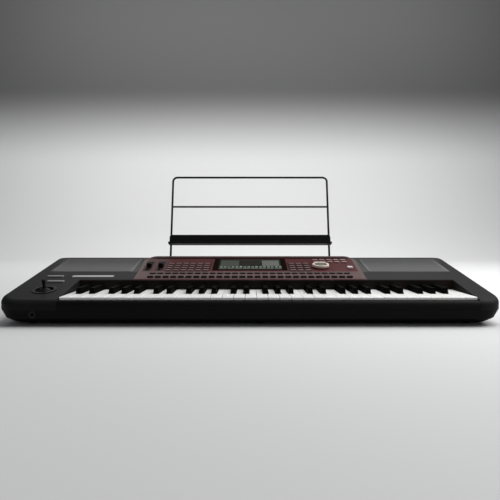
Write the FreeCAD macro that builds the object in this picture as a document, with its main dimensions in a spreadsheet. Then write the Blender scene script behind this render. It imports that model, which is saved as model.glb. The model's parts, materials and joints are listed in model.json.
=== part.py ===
import FreeCAD, Part
import os
import re
import Sketcher
from FreeCAD import Placement, Rotation, Vector

# Arranger keyboard: a wedge-shaped two-part case, a sprung key bed of full-size keys,
# a raised control panel with display and dial, two speakers and a wire music rest.
# Millimetres; x runs along the keys, y away from the player, z up from the table.

SIZES = {
    # case
    "case_width": 1030,
    "case_depth": 378,
    "front_reach": 205.9,
    "corner_front": 50,
    "corner_rear": 30,
    "wall": 3,
    "edge_round": 14,
    "crease_round": 90,
    "foot_height": 5,
    "foot_radius": 11,
    "foot_side": 454,
    "foot_shift": 23,
    "foot_front": 54,
    "foot_rear": 330,
    "parting_height": 32.5,
    "waist_height": 16,
    "waist_side": 14,
    "waist_front": 3,
    "waist_rear": 4,
    "skirt_side": 24,
    "skirt_front": 27,
    "skirt_rear": 10,
    "deck_front": 52,
    "deck_angle": 11,
    "ledge_start": 339,
    # screws that close the case
    "post_radius": 5,
    "post_side": 478,
    "post_front": 120,
    "post_back": 300,
    "post_rear": 358,
    "post_spread": 250,
    "screw_radius": 1.5,
    "screw_bite": 0.05,
    "screw_room": 0.2,
    "head_room": 0.4,
    "screw_head": 3.6,
    "screw_seat": 20,
    "screw_length": 24,
    # key bed
    "key_pitch": 23.5,
    "key_gap": 1,
    "key_offset": 37,
    "key_front": 14,
    "key_top": 58,
    "key_lip": 6.1,
    "key_lip_depth": 12,
    "key_plate": 3,
    "key_head": 49,
    "key_base": 42,
    "key_chamfer": 1.2,
    "beam_start": 34,
    "beam_side": 0.8,
    "beam_wall": 2,
    "tail_slot": 13.7,
    "black_rise": 12,
    "black_start": 50.5,
    "black_end": 125.5,
    "black_foot": 11.2,
    "black_crown": 9.2,
    "black_slope": 6,
    "pivot_reach": 190,
    "pivot_height": 47,
    "pivot_radius": 3,
    "pivot_play": 0.05,
    "tail_end": 200,
    "fall_start": 142,
    "fall_thick": 3,
    "fall_bottom": 60.5,
    "rail_top": 51.5,
    "rail_depth": 12,
    "bed_margin": 1.5,
    "frame_floor": 26,
    "frame_sheet": 2,
    "frame_front": 42,
    "frame_rear": 216,
    "frame_margin": 9,
    "stop_start": 50,
    "stop_depth": 12,
    "stop_height": 31.5,
    "felt_top": 34.6,
    "contact_start": 112,
    "contact_depth": 36,
    "contact_height": 32,
    "board_thick": 1.6,
    "dome_radius": 4,
    "dome_height": 4.4,
    "spring_radius": 2.2,
    "spring_reach": 196.5,
    "spring_top": 41.6,
    # control panel
    "panel_start": 142,
    "panel_half": 266,
    "panel_flare": 277,
    "panel_over": 3,
    "panel_length": 198,
    "panel_thick": 3,
    "panel_corner": 30,
    "panel_bevel": 1.8,
    "lip_deep": 9,
    "lip_rise": 4,
    "window_half": 259,
    "window_start": 6.5,
    "window_end": 190,
    "board_depth": 12.4,
    "button_wide": 13.4,
    "button_deep": 7.6,
    "button_play": 0.3,
    "button_rise": 2.6,
    "button_flange": 0.9,
    "row_step": 17.6,
    "row_rise": 4.4,
    "row_front": 11.4,
    "row_rear": 44,
    "field_step": 18,
    "field_rise": 20,
    "field_front": 68,
    "style_x": -197,
    "sound_x": 104,
    "mode_x": 168,
    "mode_front": 146,
    "glass_wide": 182,
    "glass_deep": 113,
    "glass_thick": 3.4,
    "screen_front": 68.5,
    "module_rim": 4,
    "module_thick": 8,
    "dial_x": 174,
    "dial_along": 100,
    "dial_radius": 20.8,
    "dial_rise": 8,
    "dial_gap": 0.6,
    "dial_stem": 3,
    "dial_flute": 1.3,
    "dial_dimple": 7,
    "power_x": 245,
    "power_along": 91,
    "power_size": 13,
    "power_rise": 4,
    "fader_first": -250,
    "fader_second": -221,
    "fader_along": 110,
    "fader_slot": 78,
    "fader_slit": 3.6,
    "fader_case": 13,
    "cap_wide": 11,
    "cap_deep": 17,
    "cap_rise": 9,
    "cap_waist": 2,
    # speakers
    "grille_inner": 284,
    "grille_outer": 482,
    "grille_front": 70,
    "grille_back": 186,
    "grille_thick": 2,
    "grille_sink": 1.5,
    "grille_rim": 7,
    "slot_long": 41,
    "slot_high": 3.6,
    "slot_step": 46,
    "slot_rise": 7.6,
    "baffle_thick": 3,
    "woofer_x": 400,
    "speaker_along": 128,
    "woofer_radius": 52,
    "woofer_depth": 42,
    "magnet_radius": 26,
    "tweeter_x": 308,
    "tweeter_radius": 24,
    "tweeter_depth": 16,
    # left cheek controls
    "stick_x": -438,
    "stick_from": 70,
    "cup_radius": 22,
    "cup_wall": 3,
    "cup_depth": 30,
    "cup_flange": 25.5,
    "gimbal_depth": 12,
    "gimbal_radius": 15,
    "gimbal_wall": 3,
    "gimbal_thick": 4,
    "trunnion": 1.6,
    "dome_shell": 17,
    "dome_inside": 16,
    "stick_height": 24,
    "stick_radius": 4,
    "switch_front_x": -437,
    "switch_rear_x": -452,
    "switch_wide": 38,
    "switch_deep": 9,
    "switch_front": 129,
    "switch_rear": 168,
    # sockets
    "seat_play": 0.1,
    "collar_over": 2,
    "jack_radius": 5.4,
    "jack_bore": 3.25,
    "jack_length": 28,
    "phones_x": -435,
    "phones_height": 24,
    "socket_height": 64,
    "jack_x": 90,
    "jack_step": 26,
    "midi_x": 296,
    "midi_step": 26,
    "midi_radius": 8,
    "midi_wall": 1,
    "usb_x": 384,
    "usb_step": 26,
    "usb_wide": 14,
    "usb_high": 7,
    "inlet_x": -400,
    "inlet_wide": 28,
    "inlet_high": 20,
    "inlet_deep": 24,
    # boards on the case floor
    "rail_height": 14,
    "rail_thick": 6,
    "main_wide": 290,
    "main_deep": 112,
    "main_x": 0,
    "boards_from": 240,
    "amp_wide": 110,
    "amp_x": -262,
    "supply_wide": 120,
    "supply_x": 262,
    # music rest
    "rest_half": 213.5,
    "rest_from": 352,
    "rest_lean": 14.5,
    "rest_rise": 228,
    "rest_sink": 26,
    "rest_wire": 2.75,
    "rest_bend": 12,
    "rest_play": 0.06,
    "rest_cross": 143,
    "shelf_low": 34,
    "shelf_tall": 29,
    "shelf_deep": 24,
    "shelf_lip": 5,
    "shelf_sheet": 1.6,
    "shelf_over": 4,
    "sleeve_radius": 7,
}

doc = FreeCAD.newDocument("arranger_keyboard")
sheet = doc.addObject("Spreadsheet::Sheet", "dims")
for line, (word, number) in enumerate(SIZES.items(), start=1):
    sheet.set(f"A{line}", word)
    sheet.set(f"B{line}", str(number))
    sheet.setAlias(f"B{line}", word)
doc.recompute()

WORD = re.compile(r"[a-z_]+")
SLOPE = "(deck_angle * 1 deg)"
LEAN = "(rest_lean * 1 deg)"
BED_LEFT = "(key_offset - 18 * key_pitch)"
BED_RIGHT = "(key_offset + 18 * key_pitch)"
LEDGE = f"(deck_front + ledge_start * tan{SLOPE})"
THIRD = "((3 * key_pitch - 2 * tail_slot) / 3)"
QUARTER = "((4 * key_pitch - 3 * tail_slot) / 4)"
pieces = []


def linked(text):
    """Turn the plain words of a size into references to the sheet."""
    return WORD.sub(lambda m: "dims." + m.group() if m.group() in SIZES else m.group(), text)


def tie(target, prop, text):
    target.setExpression(prop, linked(text))


def amount(text):
    return float(sheet.evalExpression(linked(text)))


def deck(depth):
    """Height of the sloping deck at a depth behind the front face."""
    return f"(deck_front + ({depth}) * tan{SLOPE})"


def piece(thing, label):
    thing.Label = label
    pieces.append(thing)
    return thing


# Placing


def put(thing, across, depth, height):
    """Stand a piece upright; the depth counts from the front face."""
    tie(thing, ".Placement.Base.x", across)
    tie(thing, ".Placement.Base.y", f"{depth} - front_reach")
    tie(thing, ".Placement.Base.z", height)


def put_on_deck(thing, across, along, above):
    """Lay a piece on the sloping deck; along counts up the slope from the panel's front."""
    thing.Placement = Placement(Vector(), Rotation(Vector(1, 0, 0), amount("deck_angle")))
    tie(thing, ".Placement.Rotation.Angle", "deck_angle * 1 deg")
    depth = f"panel_start + ({along}) * cos{SLOPE} - ({above}) * sin{SLOPE}"
    height = f"{deck('panel_start')} + ({along}) * sin{SLOPE} + ({above}) * cos{SLOPE}"
    put(thing, across, depth, height)


def put_on_rest(thing, across, up, behind):
    """Stand a piece in the leaning frame of the music rest."""
    thing.Placement = Placement(Vector(), Rotation(Vector(-1, 0, 0), amount("rest_lean")))
    tie(thing, ".Placement.Rotation.Angle", "rest_lean * 1 deg")
    depth = f"rest_from + ({up}) * sin{LEAN} + ({behind}) * cos{LEAN}"
    height = f"{LEDGE} + ({up}) * cos{LEAN} - ({behind}) * sin{LEAN}"
    put(thing, across, depth, height)


# Plain solids and booleans


def box(name, across, along, up):
    thing = doc.addObject("Part::Box", name)
    tie(thing, "Length", across)
    tie(thing, "Width", along)
    tie(thing, "Height", up)
    return thing


def block(name, left, right, front, back, low, high):
    """Upright block between named limits; front and back count from the front face."""
    thing = box(name, f"({right}) - ({left})", f"({back}) - ({front})", f"({high}) - ({low})")
    put(thing, left, f"({front})", low)
    return thing


def deck_block(name, left, right, front, back, low, high):
    """Block lying in the sloping deck between named limits."""
    thing = box(name, f"({right}) - ({left})", f"({back}) - ({front})", f"({high}) - ({low})")
    put_on_deck(thing, left, front, low)
    return thing


def column(name, radius, tall):
    thing = doc.addObject("Part::Cylinder", name)
    tie(thing, "Radius", radius)
    tie(thing, "Height", tall)
    return thing


def post(name, radius, across, depth, low, high):
    """Upright twelve-sided peg or hole, for what repeats inside the case."""
    thing = doc.addObject("Part::Prism", name)
    thing.Polygon = 12
    tie(thing, "Circumradius", radius)
    tie(thing, "Height", f"({high}) - ({low})")
    put(thing, across, depth, low)
    return thing


def barrel(name, radius, across, front, back, height):
    """Round bar lying along y between two depths."""
    thing = column(name, radius, f"({back}) - ({front})")
    thing.Placement = Placement(Vector(), Rotation(Vector(1, 0, 0), -90))
    put(thing, across, f"({front})", height)
    return thing


def shaft(name, radius, left, right, depth, height):
    """Round bar lying along x."""
    thing = column(name, radius, f"({right}) - ({left})")
    thing.Placement = Placement(Vector(), Rotation(Vector(0, 1, 0), 90))
    put(thing, left, depth, height)
    return thing


def group(name, members):
    thing = doc.addObject("Part::Compound", name)
    thing.Links = members
    return thing


def join(name, members):
    thing = doc.addObject("Part::MultiFuse", name)
    thing.Shapes = members
    thing.Refine = True
    return thing


def common(name, first, second):
    thing = doc.addObject("Part::Common", name)
    thing.Base = first
    thing.Tool = second
    thing.Refine = True
    return thing


def cut(name, base, tool):
    thing = doc.addObject("Part::Cut", name)
    thing.Base = base
    thing.Tool = tool
    thing.Refine = True
    return thing


# Bodies and sketches


def new_body(name):
    return doc.addObject("PartDesign::Body", name)


def origin_part(body, role):
    return [part for part in body.Origin.OriginFeatures if part.Role == role][0]


def new_sketch(body, name, plane, level="0"):
    sketch = body.newObject("Sketcher::SketchObject", name)
    sketch.AttachmentSupport = (origin_part(body, plane), [""])
    sketch.MapMode = "FlatFace"
    if level != "0":
        tie(sketch, ".AttachmentOffset.Base.z", level)
    return sketch


def fix(sketch, kind, where, text):
    """Hold one coordinate of a point at a named size."""
    if text == "0":
        axis = -2 if kind == "DistanceX" else -1
        sketch.addConstraint(Sketcher.Constraint("PointOnObject", where[0], where[1], axis))
        return
    rule = Sketcher.Constraint(kind, -1, 1, where[0], where[1], amount(text))
    number = sketch.addConstraint(rule)
    tie(sketch, f"Constraints[{number}]", text)


def outline(body, name, plane, corners, level="0"):
    """Closed polygon through corners that are given as pairs of sizes."""
    sketch = new_sketch(body, name, plane, level)
    spots = [Vector(amount(a), amount(b), 0) for a, b in corners]
    total = len(spots)
    for i in range(total):
        sketch.addGeometry(Part.LineSegment(spots[i], spots[(i + 1) % total]), False)
    for i in range(total):
        sketch.addConstraint(Sketcher.Constraint("Coincident", i, 2, (i + 1) % total, 1))
    for i, (a, b) in enumerate(corners):
        fix(sketch, "DistanceX", (i, 1), a)
        fix(sketch, "DistanceY", (i, 1), b)
    return sketch


def rectangle(body, name, plane, left, right, low, high, level="0"):
    corners = [(left, low), (right, low), (right, high), (left, high)]
    return outline(body, name, plane, corners, level)


def disc(body, name, plane, across, up, radius, level="0"):
    sketch = new_sketch(body, name, plane, level)
    centre = Vector(amount(across), amount(up), 0)
    sketch.addGeometry(Part.Circle(centre, Vector(0, 0, 1), amount(radius)), False)
    fix(sketch, "DistanceX", (0, 3), across)
    fix(sketch, "DistanceY", (0, 3), up)
    number = sketch.addConstraint(Sketcher.Constraint("Radius", 0, amount(radius)))
    tie(sketch, f"Constraints[{number}]", radius)
    return sketch


def polygon(body, name, radius, level="0"):
    """Regular hexagon about the origin, for small pieces that repeat many times."""
    turns = [f"(15 deg + {60 * i} deg)" for i in range(6)]
    corners = [(f"{radius} * cos{turn}", f"{radius} * sin{turn}") for turn in turns]
    return outline(body, name, "XY_Plane", corners, level)


def soft_rectangle(body, name, sides, fronts, radii, level):
    """Plan rectangle with rounded corners: one radius in front, another behind."""
    sketch = new_sketch(body, name, "XY_Plane", level)
    half = amount(sides)
    low, high = amount(fronts[0]), amount(fronts[1])
    near, far = amount(radii[0]), amount(radii[1])
    rounds = [
        (half - near, low + near, near, -90),
        (half - far, high - far, far, 0),
        (-half + far, high - far, far, 90),
        (-half + near, low + near, near, 180),
    ]
    arcs = []
    for x, y, radius, turn in rounds:
        circle = Part.Circle(Vector(x, y, 0), Vector(0, 0, 1), radius)
        first = turn * 3.141592653589793 / 180
        arcs.append(Part.ArcOfCircle(circle, first, first + 1.5707963267948966))
    for i in range(4):
        before = arcs[i - 1]
        sketch.addGeometry(Part.LineSegment(before.EndPoint, arcs[i].StartPoint), False)
        sketch.addGeometry(arcs[i], False)
    for i in range(8):
        sketch.addConstraint(Sketcher.Constraint("Tangent", i, 2, (i + 1) % 8, 1))
    for i, kind in enumerate(["Horizontal", "Vertical", "Horizontal", "Vertical"]):
        sketch.addConstraint(Sketcher.Constraint(kind, 2 * i))
    for i, text in enumerate([radii[0], radii[1], radii[1], radii[0]]):
        number = sketch.addConstraint(Sketcher.Constraint("Radius", 2 * i + 1, amount(text)))
        tie(sketch, f"Constraints[{number}]", text)
    fix(sketch, "DistanceY", (0, 1), fronts[0])
    fix(sketch, "DistanceX", (2, 1), sides)
    fix(sketch, "DistanceY", (4, 1), fronts[1])
    fix(sketch, "DistanceX", (6, 1), f"-({sides})")
    return sketch


def pad(body, name, sketch, tall, middle=False, back=False):
    thing = body.newObject("PartDesign::Pad", name)
    thing.Profile = sketch
    tie(thing, "Length", tall)
    thing.SideType = "Symmetric" if middle else "One side"
    thing.Reversed = back
    return thing


def pocket(body, name, sketch, deep, middle=False, back=False):
    thing = body.newObject("PartDesign::Pocket", name)
    thing.Profile = sketch
    tie(thing, "Length", deep)
    thing.SideType = "Symmetric" if middle else "One side"
    thing.Reversed = back
    return thing


def loft(body, name, lines, remove=False):
    kind = "PartDesign::SubtractiveLoft" if remove else "PartDesign::AdditiveLoft"
    thing = body.newObject(kind, name)
    thing.Profile = lines[0]
    thing.Sections = lines[1:]
    thing.Ruled = True
    return thing


def turned(body, name, sketch, axis, remove=False):
    kind = "PartDesign::Groove" if remove else "PartDesign::Revolution"
    thing = body.newObject(kind, name)
    thing.Profile = sketch
    thing.ReferenceAxis = (origin_part(body, axis), [""])
    thing.Angle = 360
    return thing


def rounded(body, name, radius, chosen):
    """Round the edges of the body so far that satisfy a test."""
    doc.recompute()
    base = body.Tip
    names = [f"Edge{i + 1}" for i, edge in enumerate(base.Shape.Edges) if chosen(edge)]
    thing = body.newObject("PartDesign::Fillet", name)
    thing.Base = (base, names)
    tie(thing, "Radius", radius)
    return thing


def chamfered(body, name, size, chosen):
    doc.recompute()
    base = body.Tip
    names = [f"Edge{i + 1}" for i, edge in enumerate(base.Shape.Edges) if chosen(edge)]
    thing = body.newObject("PartDesign::Chamfer", name)
    thing.Base = (base, names)
    tie(thing, "Size", size)
    return thing


def repeat(body, name, originals, step, count, rise="0", rows=1):
    """Repeat features, or all features of the body, along x and then along y."""
    if not originals:
        originals = [part for part in body.Group if hasattr(part, "AddSubShape")]
    thing = body.newObject("PartDesign::LinearPattern", name)
    thing.Originals = originals
    thing.Direction = (origin_part(body, "X_Axis"), [""])
    tie(thing, "Length", f"({step}) * {count - 1}")
    thing.Occurrences = count
    if rows > 1:
        thing.Direction2 = (origin_part(body, "Y_Axis"), [""])
        tie(thing, "Length2", f"({rise}) * {rows - 1}")
        thing.Occurrences2 = rows
    body.Tip = thing
    return thing


def upright(edge):
    ends = [v.Point for v in edge.Vertexes]
    return len(ends) == 2 and (ends[0] - ends[1]).cross(Vector(0, 0, 1)).Length < 1e-6


# Case: a tapering tray below, a wedge-shaped shell above, both open towards each other


def wedge(name, inset, low):
    """Side profile of the upper case carried across its width, corners rounded in plan."""
    body = new_body(name)
    drop = f"({inset}) / cos{SLOPE}"
    near = f"{inset} - front_reach"
    far = f"case_depth - {inset} - front_reach"
    corners = [
        (near, low),
        (near, f"{deck(inset)} - {drop}"),
        ("ledge_start - front_reach", f"{LEDGE} - {drop}"),
        (far, f"{LEDGE} - {drop}"),
        (far, low),
    ]
    sketch = outline(body, name + "_side", "YZ_Plane", corners)
    pad(body, name + "_block", sketch, f"case_width - 2 * ({inset})", middle=True)
    middle = amount("case_depth / 2 - front_reach")
    fold = amount("ledge_start - front_reach")
    level = amount(f"{LEDGE} - {drop}")

    def in_front(edge):
        return upright(edge) and edge.BoundBox.YMax < middle

    def behind(edge):
        return upright(edge) and edge.BoundBox.YMin > middle

    def crease(edge):
        box = edge.BoundBox
        return abs(box.ZMin - level) < 0.01 and abs(box.YMin - fold) < 0.01 and box.YLength < 0.01

    def rim(edge):
        box = edge.BoundBox
        across = box.XLength > amount("case_width / 2") and box.YLength < 0.01
        inside = abs(box.YMin - fold) < amount("corner_rear")
        return box.ZMin > amount("parting_height") + 1 and not upright(edge) and not (across and inside)

    rounded(body, name + "_front_corners", f"corner_front - {inset}", in_front)
    rounded(body, name + "_rear_corners", f"corner_rear - {inset}", behind)
    rounded(body, name + "_crease", f"crease_round - {inset}", crease)
    if inset == "0":
        rounded(body, name + "_rim", "edge_round", rim)
    else:
        chamfered(body, name + "_rim", "edge_round / 2", rim)
    return body


upper = wedge("upper_shell", "0", "parting_height")
hollow = wedge("upper_hollow", "wall", "parting_height - 1")

POSTS = [
    ("-post_side", "post_front"),
    ("-post_side", "post_back"),
    ("post_side", "post_front"),
    ("post_side", "post_back"),
    ("-post_spread", "post_rear"),
    ("post_spread", "post_rear"),
]
bosses = []
pilots = []
for i, (across, depth) in enumerate(POSTS):
    boss_top = "parting_height + 3 * post_radius"
    bosses.append(post(f"boss_{i}", "post_radius", across, depth, "parting_height", boss_top))
    web_top = "parting_height + 2 * post_radius"
    if depth == "post_rear":
        wide = (f"{across} - wall / 2", f"{across} + wall / 2")
        deep = ("post_rear", "case_depth - wall / 2")
    elif across == "post_side":
        wide = ("post_side", "case_width / 2 - wall / 2")
        deep = (f"{depth} - wall / 2", f"{depth} + wall / 2")
    else:
        wide = ("-case_width / 2 + wall / 2", "-post_side")
        deep = (f"{depth} - wall / 2", f"{depth} + wall / 2")
    bosses.append(block(f"web_{i}", *wide, *deep, "parting_height", web_top))
    pilot_top = "screw_seat + screw_length + 1"
    pilot_low = "parting_height - 1"
    pilots.append(post(f"pilot_{i}", "screw_radius + screw_bite", across, depth, pilot_low, pilot_top))

slip_ends = (f"{BED_LEFT} - bed_margin", f"{BED_RIGHT} + bed_margin")
slip_bar = block("slip_bar", *slip_ends, "-wall", "rail_depth", "parting_height", "rail_top")
slip_room = block(
    "slip_room", *slip_ends, "wall", "rail_depth - wall", "parting_height - wall", "rail_top - 3 * wall"
)
slip = cut("slip_channel", common("slip_shaped", slip_bar, upper), slip_room)
piece(slip, "key_slip")

cheek_walls = []
for side, left in (("left", f"{BED_LEFT} - bed_margin - wall"), ("right", f"{BED_RIGHT} + bed_margin")):
    slab = block(
        f"cheek_slab_{side}",
        left,
        f"{left} + wall",
        "wall / 2",
        "fall_start + fall_thick + wall",
        "key_base - 2 * wall",
        f"{LEDGE} + edge_round",
    )
    cheek_walls.append(common(f"cheek_wall_{side}", slab, upper))

sleeves = []
rest_bores = []
for side, across in (("left", "-rest_half"), ("right", "rest_half")):
    sleeve = column(f"sleeve_{side}", "sleeve_radius", "rest_sink")
    put_on_rest(sleeve, across, "-rest_sink - 0.7 * wall", "0")
    sleeves.append(sleeve)
    bore = column(f"rest_bore_{side}", "rest_wire + rest_play", "rest_sink + 2 * sleeve_radius")
    put_on_rest(bore, across, "-rest_sink - 0.2", "0")
    rest_bores.append(bore)

bed_gap = block(
    "bed_gap",
    f"{BED_LEFT} - bed_margin",
    f"{BED_RIGHT} + bed_margin",
    "-wall",
    "fall_start + fall_thick",
    "parting_height - wall",
    f"{LEDGE} + edge_round",
)
panel_window = deck_block(
    "panel_window", "-window_half", "window_half", "window_start", "window_end", "-3 * wall", "2 * wall"
)
openings = [bed_gap, panel_window] + rest_bores + pilots

SIDES = {"left": ("-grille_outer", "-grille_inner"), "right": ("grille_inner", "grille_outer")}
for side, (left, right) in SIDES.items():
    seat = deck_block(
        f"grille_seat_{side}",
        f"{left} - button_play",
        f"{right} + button_play",
        "grille_front - button_play",
        "grille_back + button_play",
        "-grille_sink",
        "wall",
    )
    sound = deck_block(
        f"sound_gap_{side}",
        f"{left} + grille_rim",
        f"{right} - grille_rim",
        "grille_front + grille_rim",
        "grille_back - grille_rim",
        "-2 * wall",
        "-grille_sink / 2",
    )
    openings += [seat, sound]

STICK_ALONG = f"((stick_from - panel_start) / cos{SLOPE})"
stick_gap = column("stick_gap", "cup_radius + 2 * seat_play", "6 * wall")
put_on_deck(stick_gap, "stick_x", STICK_ALONG, "-4 * wall")
openings.append(stick_gap)

SWITCHES = {"front": ("switch_front_x", "switch_front"), "rear": ("switch_rear_x", "switch_rear")}
for name, (across, depth) in SWITCHES.items():
    along = f"(({depth} - panel_start) / cos{SLOPE})"
    half_wide = "(switch_wide / 2 + button_play)"
    half_deep = "(switch_deep / 2 + button_play)"
    gap = deck_block(
        f"switch_gap_{name}",
        f"{across} - {half_wide}",
        f"{across} + {half_wide}",
        f"{along} - {half_deep}",
        f"{along} + {half_deep}",
        "-2 * wall",
        "wall",
    )
    openings.append(gap)

REAR = ("case_depth - 2 * wall", "case_depth + wall")
for i in range(4):
    across = f"jack_x + {i} * jack_step"
    openings.append(barrel(f"jack_gap_{i}", "jack_radius + seat_play", across, *REAR, "socket_height"))
for i in range(3):
    across = f"midi_x + {i} * midi_step"
    openings.append(barrel(f"midi_gap_{i}", "midi_radius + seat_play", across, *REAR, "socket_height"))
for i in range(2):
    left = f"usb_x + {i} * usb_step - usb_wide / 2 - seat_play"
    right = f"usb_x + {i} * usb_step + usb_wide / 2 + seat_play"
    low = "socket_height - usb_high / 2 - seat_play"
    high = "socket_height + usb_high / 2 + seat_play"
    openings.append(block(f"usb_gap_{i}", left, right, *REAR, low, high))
inlet_gap = block(
    "inlet_gap",
    "inlet_x - inlet_wide / 2 - seat_play",
    "inlet_x + inlet_wide / 2 + seat_play",
    *REAR,
    "socket_height - inlet_high / 2 - seat_play",
    "socket_height + inlet_high / 2 + seat_play",
)
openings.append(inlet_gap)

shell = cut("upper_hollowed", upper, hollow)
furnished = join("upper_furnished", [shell] + cheek_walls + bosses + sleeves)
opened = cut("upper_opened", furnished, join("upper_openings", openings))
SPANS = {
    "left_end_case": ("-case_width", "-panel_half"),
    "top_case": ("-panel_half", "panel_half"),
    "right_end_case": ("panel_half", "case_width"),
}
for name, (left, right) in SPANS.items():
    span = block(f"{name}_span", left, right, "-wall", "case_depth + wall", "0", f"{LEDGE} + edge_round")
    piece(common(f"{name}_part", opened, span), name)

lower = new_body("lower_shell")


def tray_line(name, inset, step, level):
    """Plan of the tray at one level, drawn in by the step at the sides, front and rear."""
    side, near, far = step
    half = f"case_width / 2 - {side} - {inset}"
    ends = (f"{near} + {inset} - front_reach", f"case_depth - {far} - {inset} - front_reach")
    rounds = (f"corner_front - {side} - {inset}", f"corner_rear - {far} - {inset}")
    return soft_rectangle(lower, name, half, ends, rounds, level)


BRIM = ("0", "0", "0")
WAIST = ("waist_side", "waist_front", "waist_rear")
SKIRT = ("skirt_side", "skirt_front", "skirt_rear")
outside = [
    tray_line("skirt_outside", "0", SKIRT, "foot_height"),
    tray_line("waist_outside", "0", WAIST, "waist_height"),
    tray_line("brim_outside", "0", BRIM, "parting_height"),
]
loft(lower, "tray_outside", outside)
inside = [
    tray_line("skirt_inside", "wall", SKIRT, "foot_height + wall"),
    tray_line("waist_inside", "wall", WAIST, "waist_height"),
    tray_line("brim_inside", "wall", BRIM, "parting_height + 0.5"),
]
loft(lower, "tray_inside", inside, remove=True)

FLOOR = "(foot_height + wall)"
stands = []
wells = []
for i, (across, depth) in enumerate(POSTS):
    stands.append(post(f"stand_{i}", "post_radius", across, depth, f"{FLOOR} - wall / 2", "parting_height"))
    well_ends = (across, depth, "foot_height - 1", "screw_seat")
    wells.append(post(f"well_{i}", "screw_head + head_room", *well_ends))
    throat_ends = (across, depth, "screw_seat - 1", "parting_height + 1")
    wells.append(post(f"throat_{i}", "screw_radius + screw_room", *throat_ends))
BOARDS = {
    "main": ("main_x", "main_wide"),
    "amp": ("amp_x", "amp_wide"),
    "supply": ("supply_x", "supply_wide"),
}
for name, (centre, wide) in BOARDS.items():
    for end in ("front", "back"):
        start = "boards_from + rail_thick"
        if end == "back":
            start = "boards_from + main_deep - 2 * rail_thick"
        bar = block(
            f"{name}_rail_{end}",
            f"{centre} - {wide} / 2",
            f"{centre} + {wide} / 2",
            start,
            f"{start} + rail_thick",
            f"{FLOOR} - wall / 2",
            "rail_height",
        )
        stands.append(bar)
phones_ends = ("phones_x", "-wall")
phones_gap = barrel("phones_gap", "jack_radius + seat_play", *phones_ends, "jack_length", "phones_height")
collar_gap = "jack_radius + collar_over + seat_play"
phones_seat = barrel("phones_seat", collar_gap, *phones_ends, "wall / 2", "phones_height")
lower_solid = join("lower_furnished", [lower] + stands)
lower_openings = join("lower_openings", wells + [phones_gap, phones_seat])
piece(cut("lower_opened", lower_solid, lower_openings), "bottom_case")

feet = []
for row in ("foot_front", "foot_rear"):
    for i, across in enumerate(("-foot_side", "foot_shift", "foot_side")):
        foot = doc.addObject("Part::Cone", f"{row}_{i}")
        tie(foot, "Radius1", "foot_radius - 1.5")
        tie(foot, "Radius2", "foot_radius")
        tie(foot, "Height", "foot_height")
        put(foot, across, row, "0")
        feet.append(foot)
piece(group("feet_group", feet), "rubber_feet")

screws = []
for i, (across, depth) in enumerate(POSTS):
    head = post(f"head_{i}", "screw_head", across, depth, "screw_seat - 2 * screw_radius", "screw_seat")
    thread_top = "screw_seat + screw_length"
    thread = post(f"thread_{i}", "screw_radius", across, depth, "screw_seat - screw_radius", thread_top)
    slot = block(
        f"driver_{i}",
        f"{across} - screw_head / 2",
        f"{across} + screw_head / 2",
        f"{depth} - screw_radius / 4",
        f"{depth} + screw_radius / 4",
        "screw_seat - 2 * screw_radius - 1",
        "screw_seat - 1.4 * screw_radius",
    )
    screws.append(cut(f"screw_{i}", join(f"screw_blank_{i}", [head, thread]), slot))
piece(group("screw_group", screws), "case_screws")

piece(
    block(
        "fall_strip",
        f"{BED_LEFT} - bed_margin",
        f"{BED_RIGHT} + bed_margin",
        "fall_start",
        "fall_start + fall_thick",
        "fall_bottom",
        deck("fall_start"),
    ),
    "fallboard",
)

# Key bed: chassis, pivot rod, stop felt, contact strip, springs and keys

chassis = new_body("key_chassis")
bed_length = "(36 * key_pitch + 2 * frame_margin)"
plate_low = "frame_floor - frame_sheet"
spine = "frame_rear + frame_sheet"
stop_back = "stop_start + stop_depth"
contact_back = "contact_start + contact_depth"
profile = [
    ("frame_front", FLOOR),
    ("frame_front + frame_sheet", FLOOR),
    ("frame_front + frame_sheet", plate_low),
    ("frame_rear", plate_low),
    ("frame_rear", FLOOR),
    (spine, FLOOR),
    (spine, "pivot_height + 2 * pivot_radius"),
    ("frame_rear", "pivot_height + 2 * pivot_radius"),
    ("frame_rear", "frame_floor"),
    (contact_back, "frame_floor"),
    (contact_back, "contact_height"),
    ("contact_start", "contact_height"),
    ("contact_start", "frame_floor"),
    (stop_back, "frame_floor"),
    (stop_back, "stop_height"),
    ("stop_start", "stop_height"),
    ("stop_start", "frame_floor"),
    ("frame_front", "frame_floor"),
]
pad(chassis, "chassis_bar", outline(chassis, "chassis_profile", "YZ_Plane", profile), bed_length)
pivot_depth = "(key_front + pivot_reach)"
cheek_front = f"{pivot_depth} - 3 * pivot_radius"
cheek_top = "pivot_height + 2 * pivot_radius"
for name, start in (("near", "0"), ("far", f"{bed_length} - 2 * frame_sheet")):
    cheek = rectangle(
        chassis, f"cheek_{name}_line", "YZ_Plane", cheek_front, "frame_rear", "frame_floor", cheek_top, start
    )
    pad(chassis, f"cheek_{name}", cheek, "2 * frame_sheet")
eye = disc(chassis, "rod_eye_line", "YZ_Plane", pivot_depth, "pivot_height", "pivot_radius + pivot_play")
pocket(chassis, "rod_eye", eye, f"3 * {bed_length}", middle=True)
put(chassis, f"{BED_LEFT} - frame_margin", "0", "0")
piece(chassis, "key_frame")

rod_left = f"{BED_LEFT} - frame_margin"
rod_right = f"{BED_RIGHT} + frame_margin"
piece(shaft("rod", "pivot_radius", rod_left, rod_right, pivot_depth, "pivot_height"), "key_pivot_rod")
felt_ends = (BED_LEFT, BED_RIGHT, "stop_start", stop_back)
piece(block("felt", *felt_ends, "stop_height", "felt_top"), "key_stop_felt")
contact_top = "contact_height + board_thick"
contact_ends = (BED_LEFT, BED_RIGHT, "contact_start", contact_back)
piece(block("contact_card", *contact_ends, "contact_height", contact_top), "key_contact_board")

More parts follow.
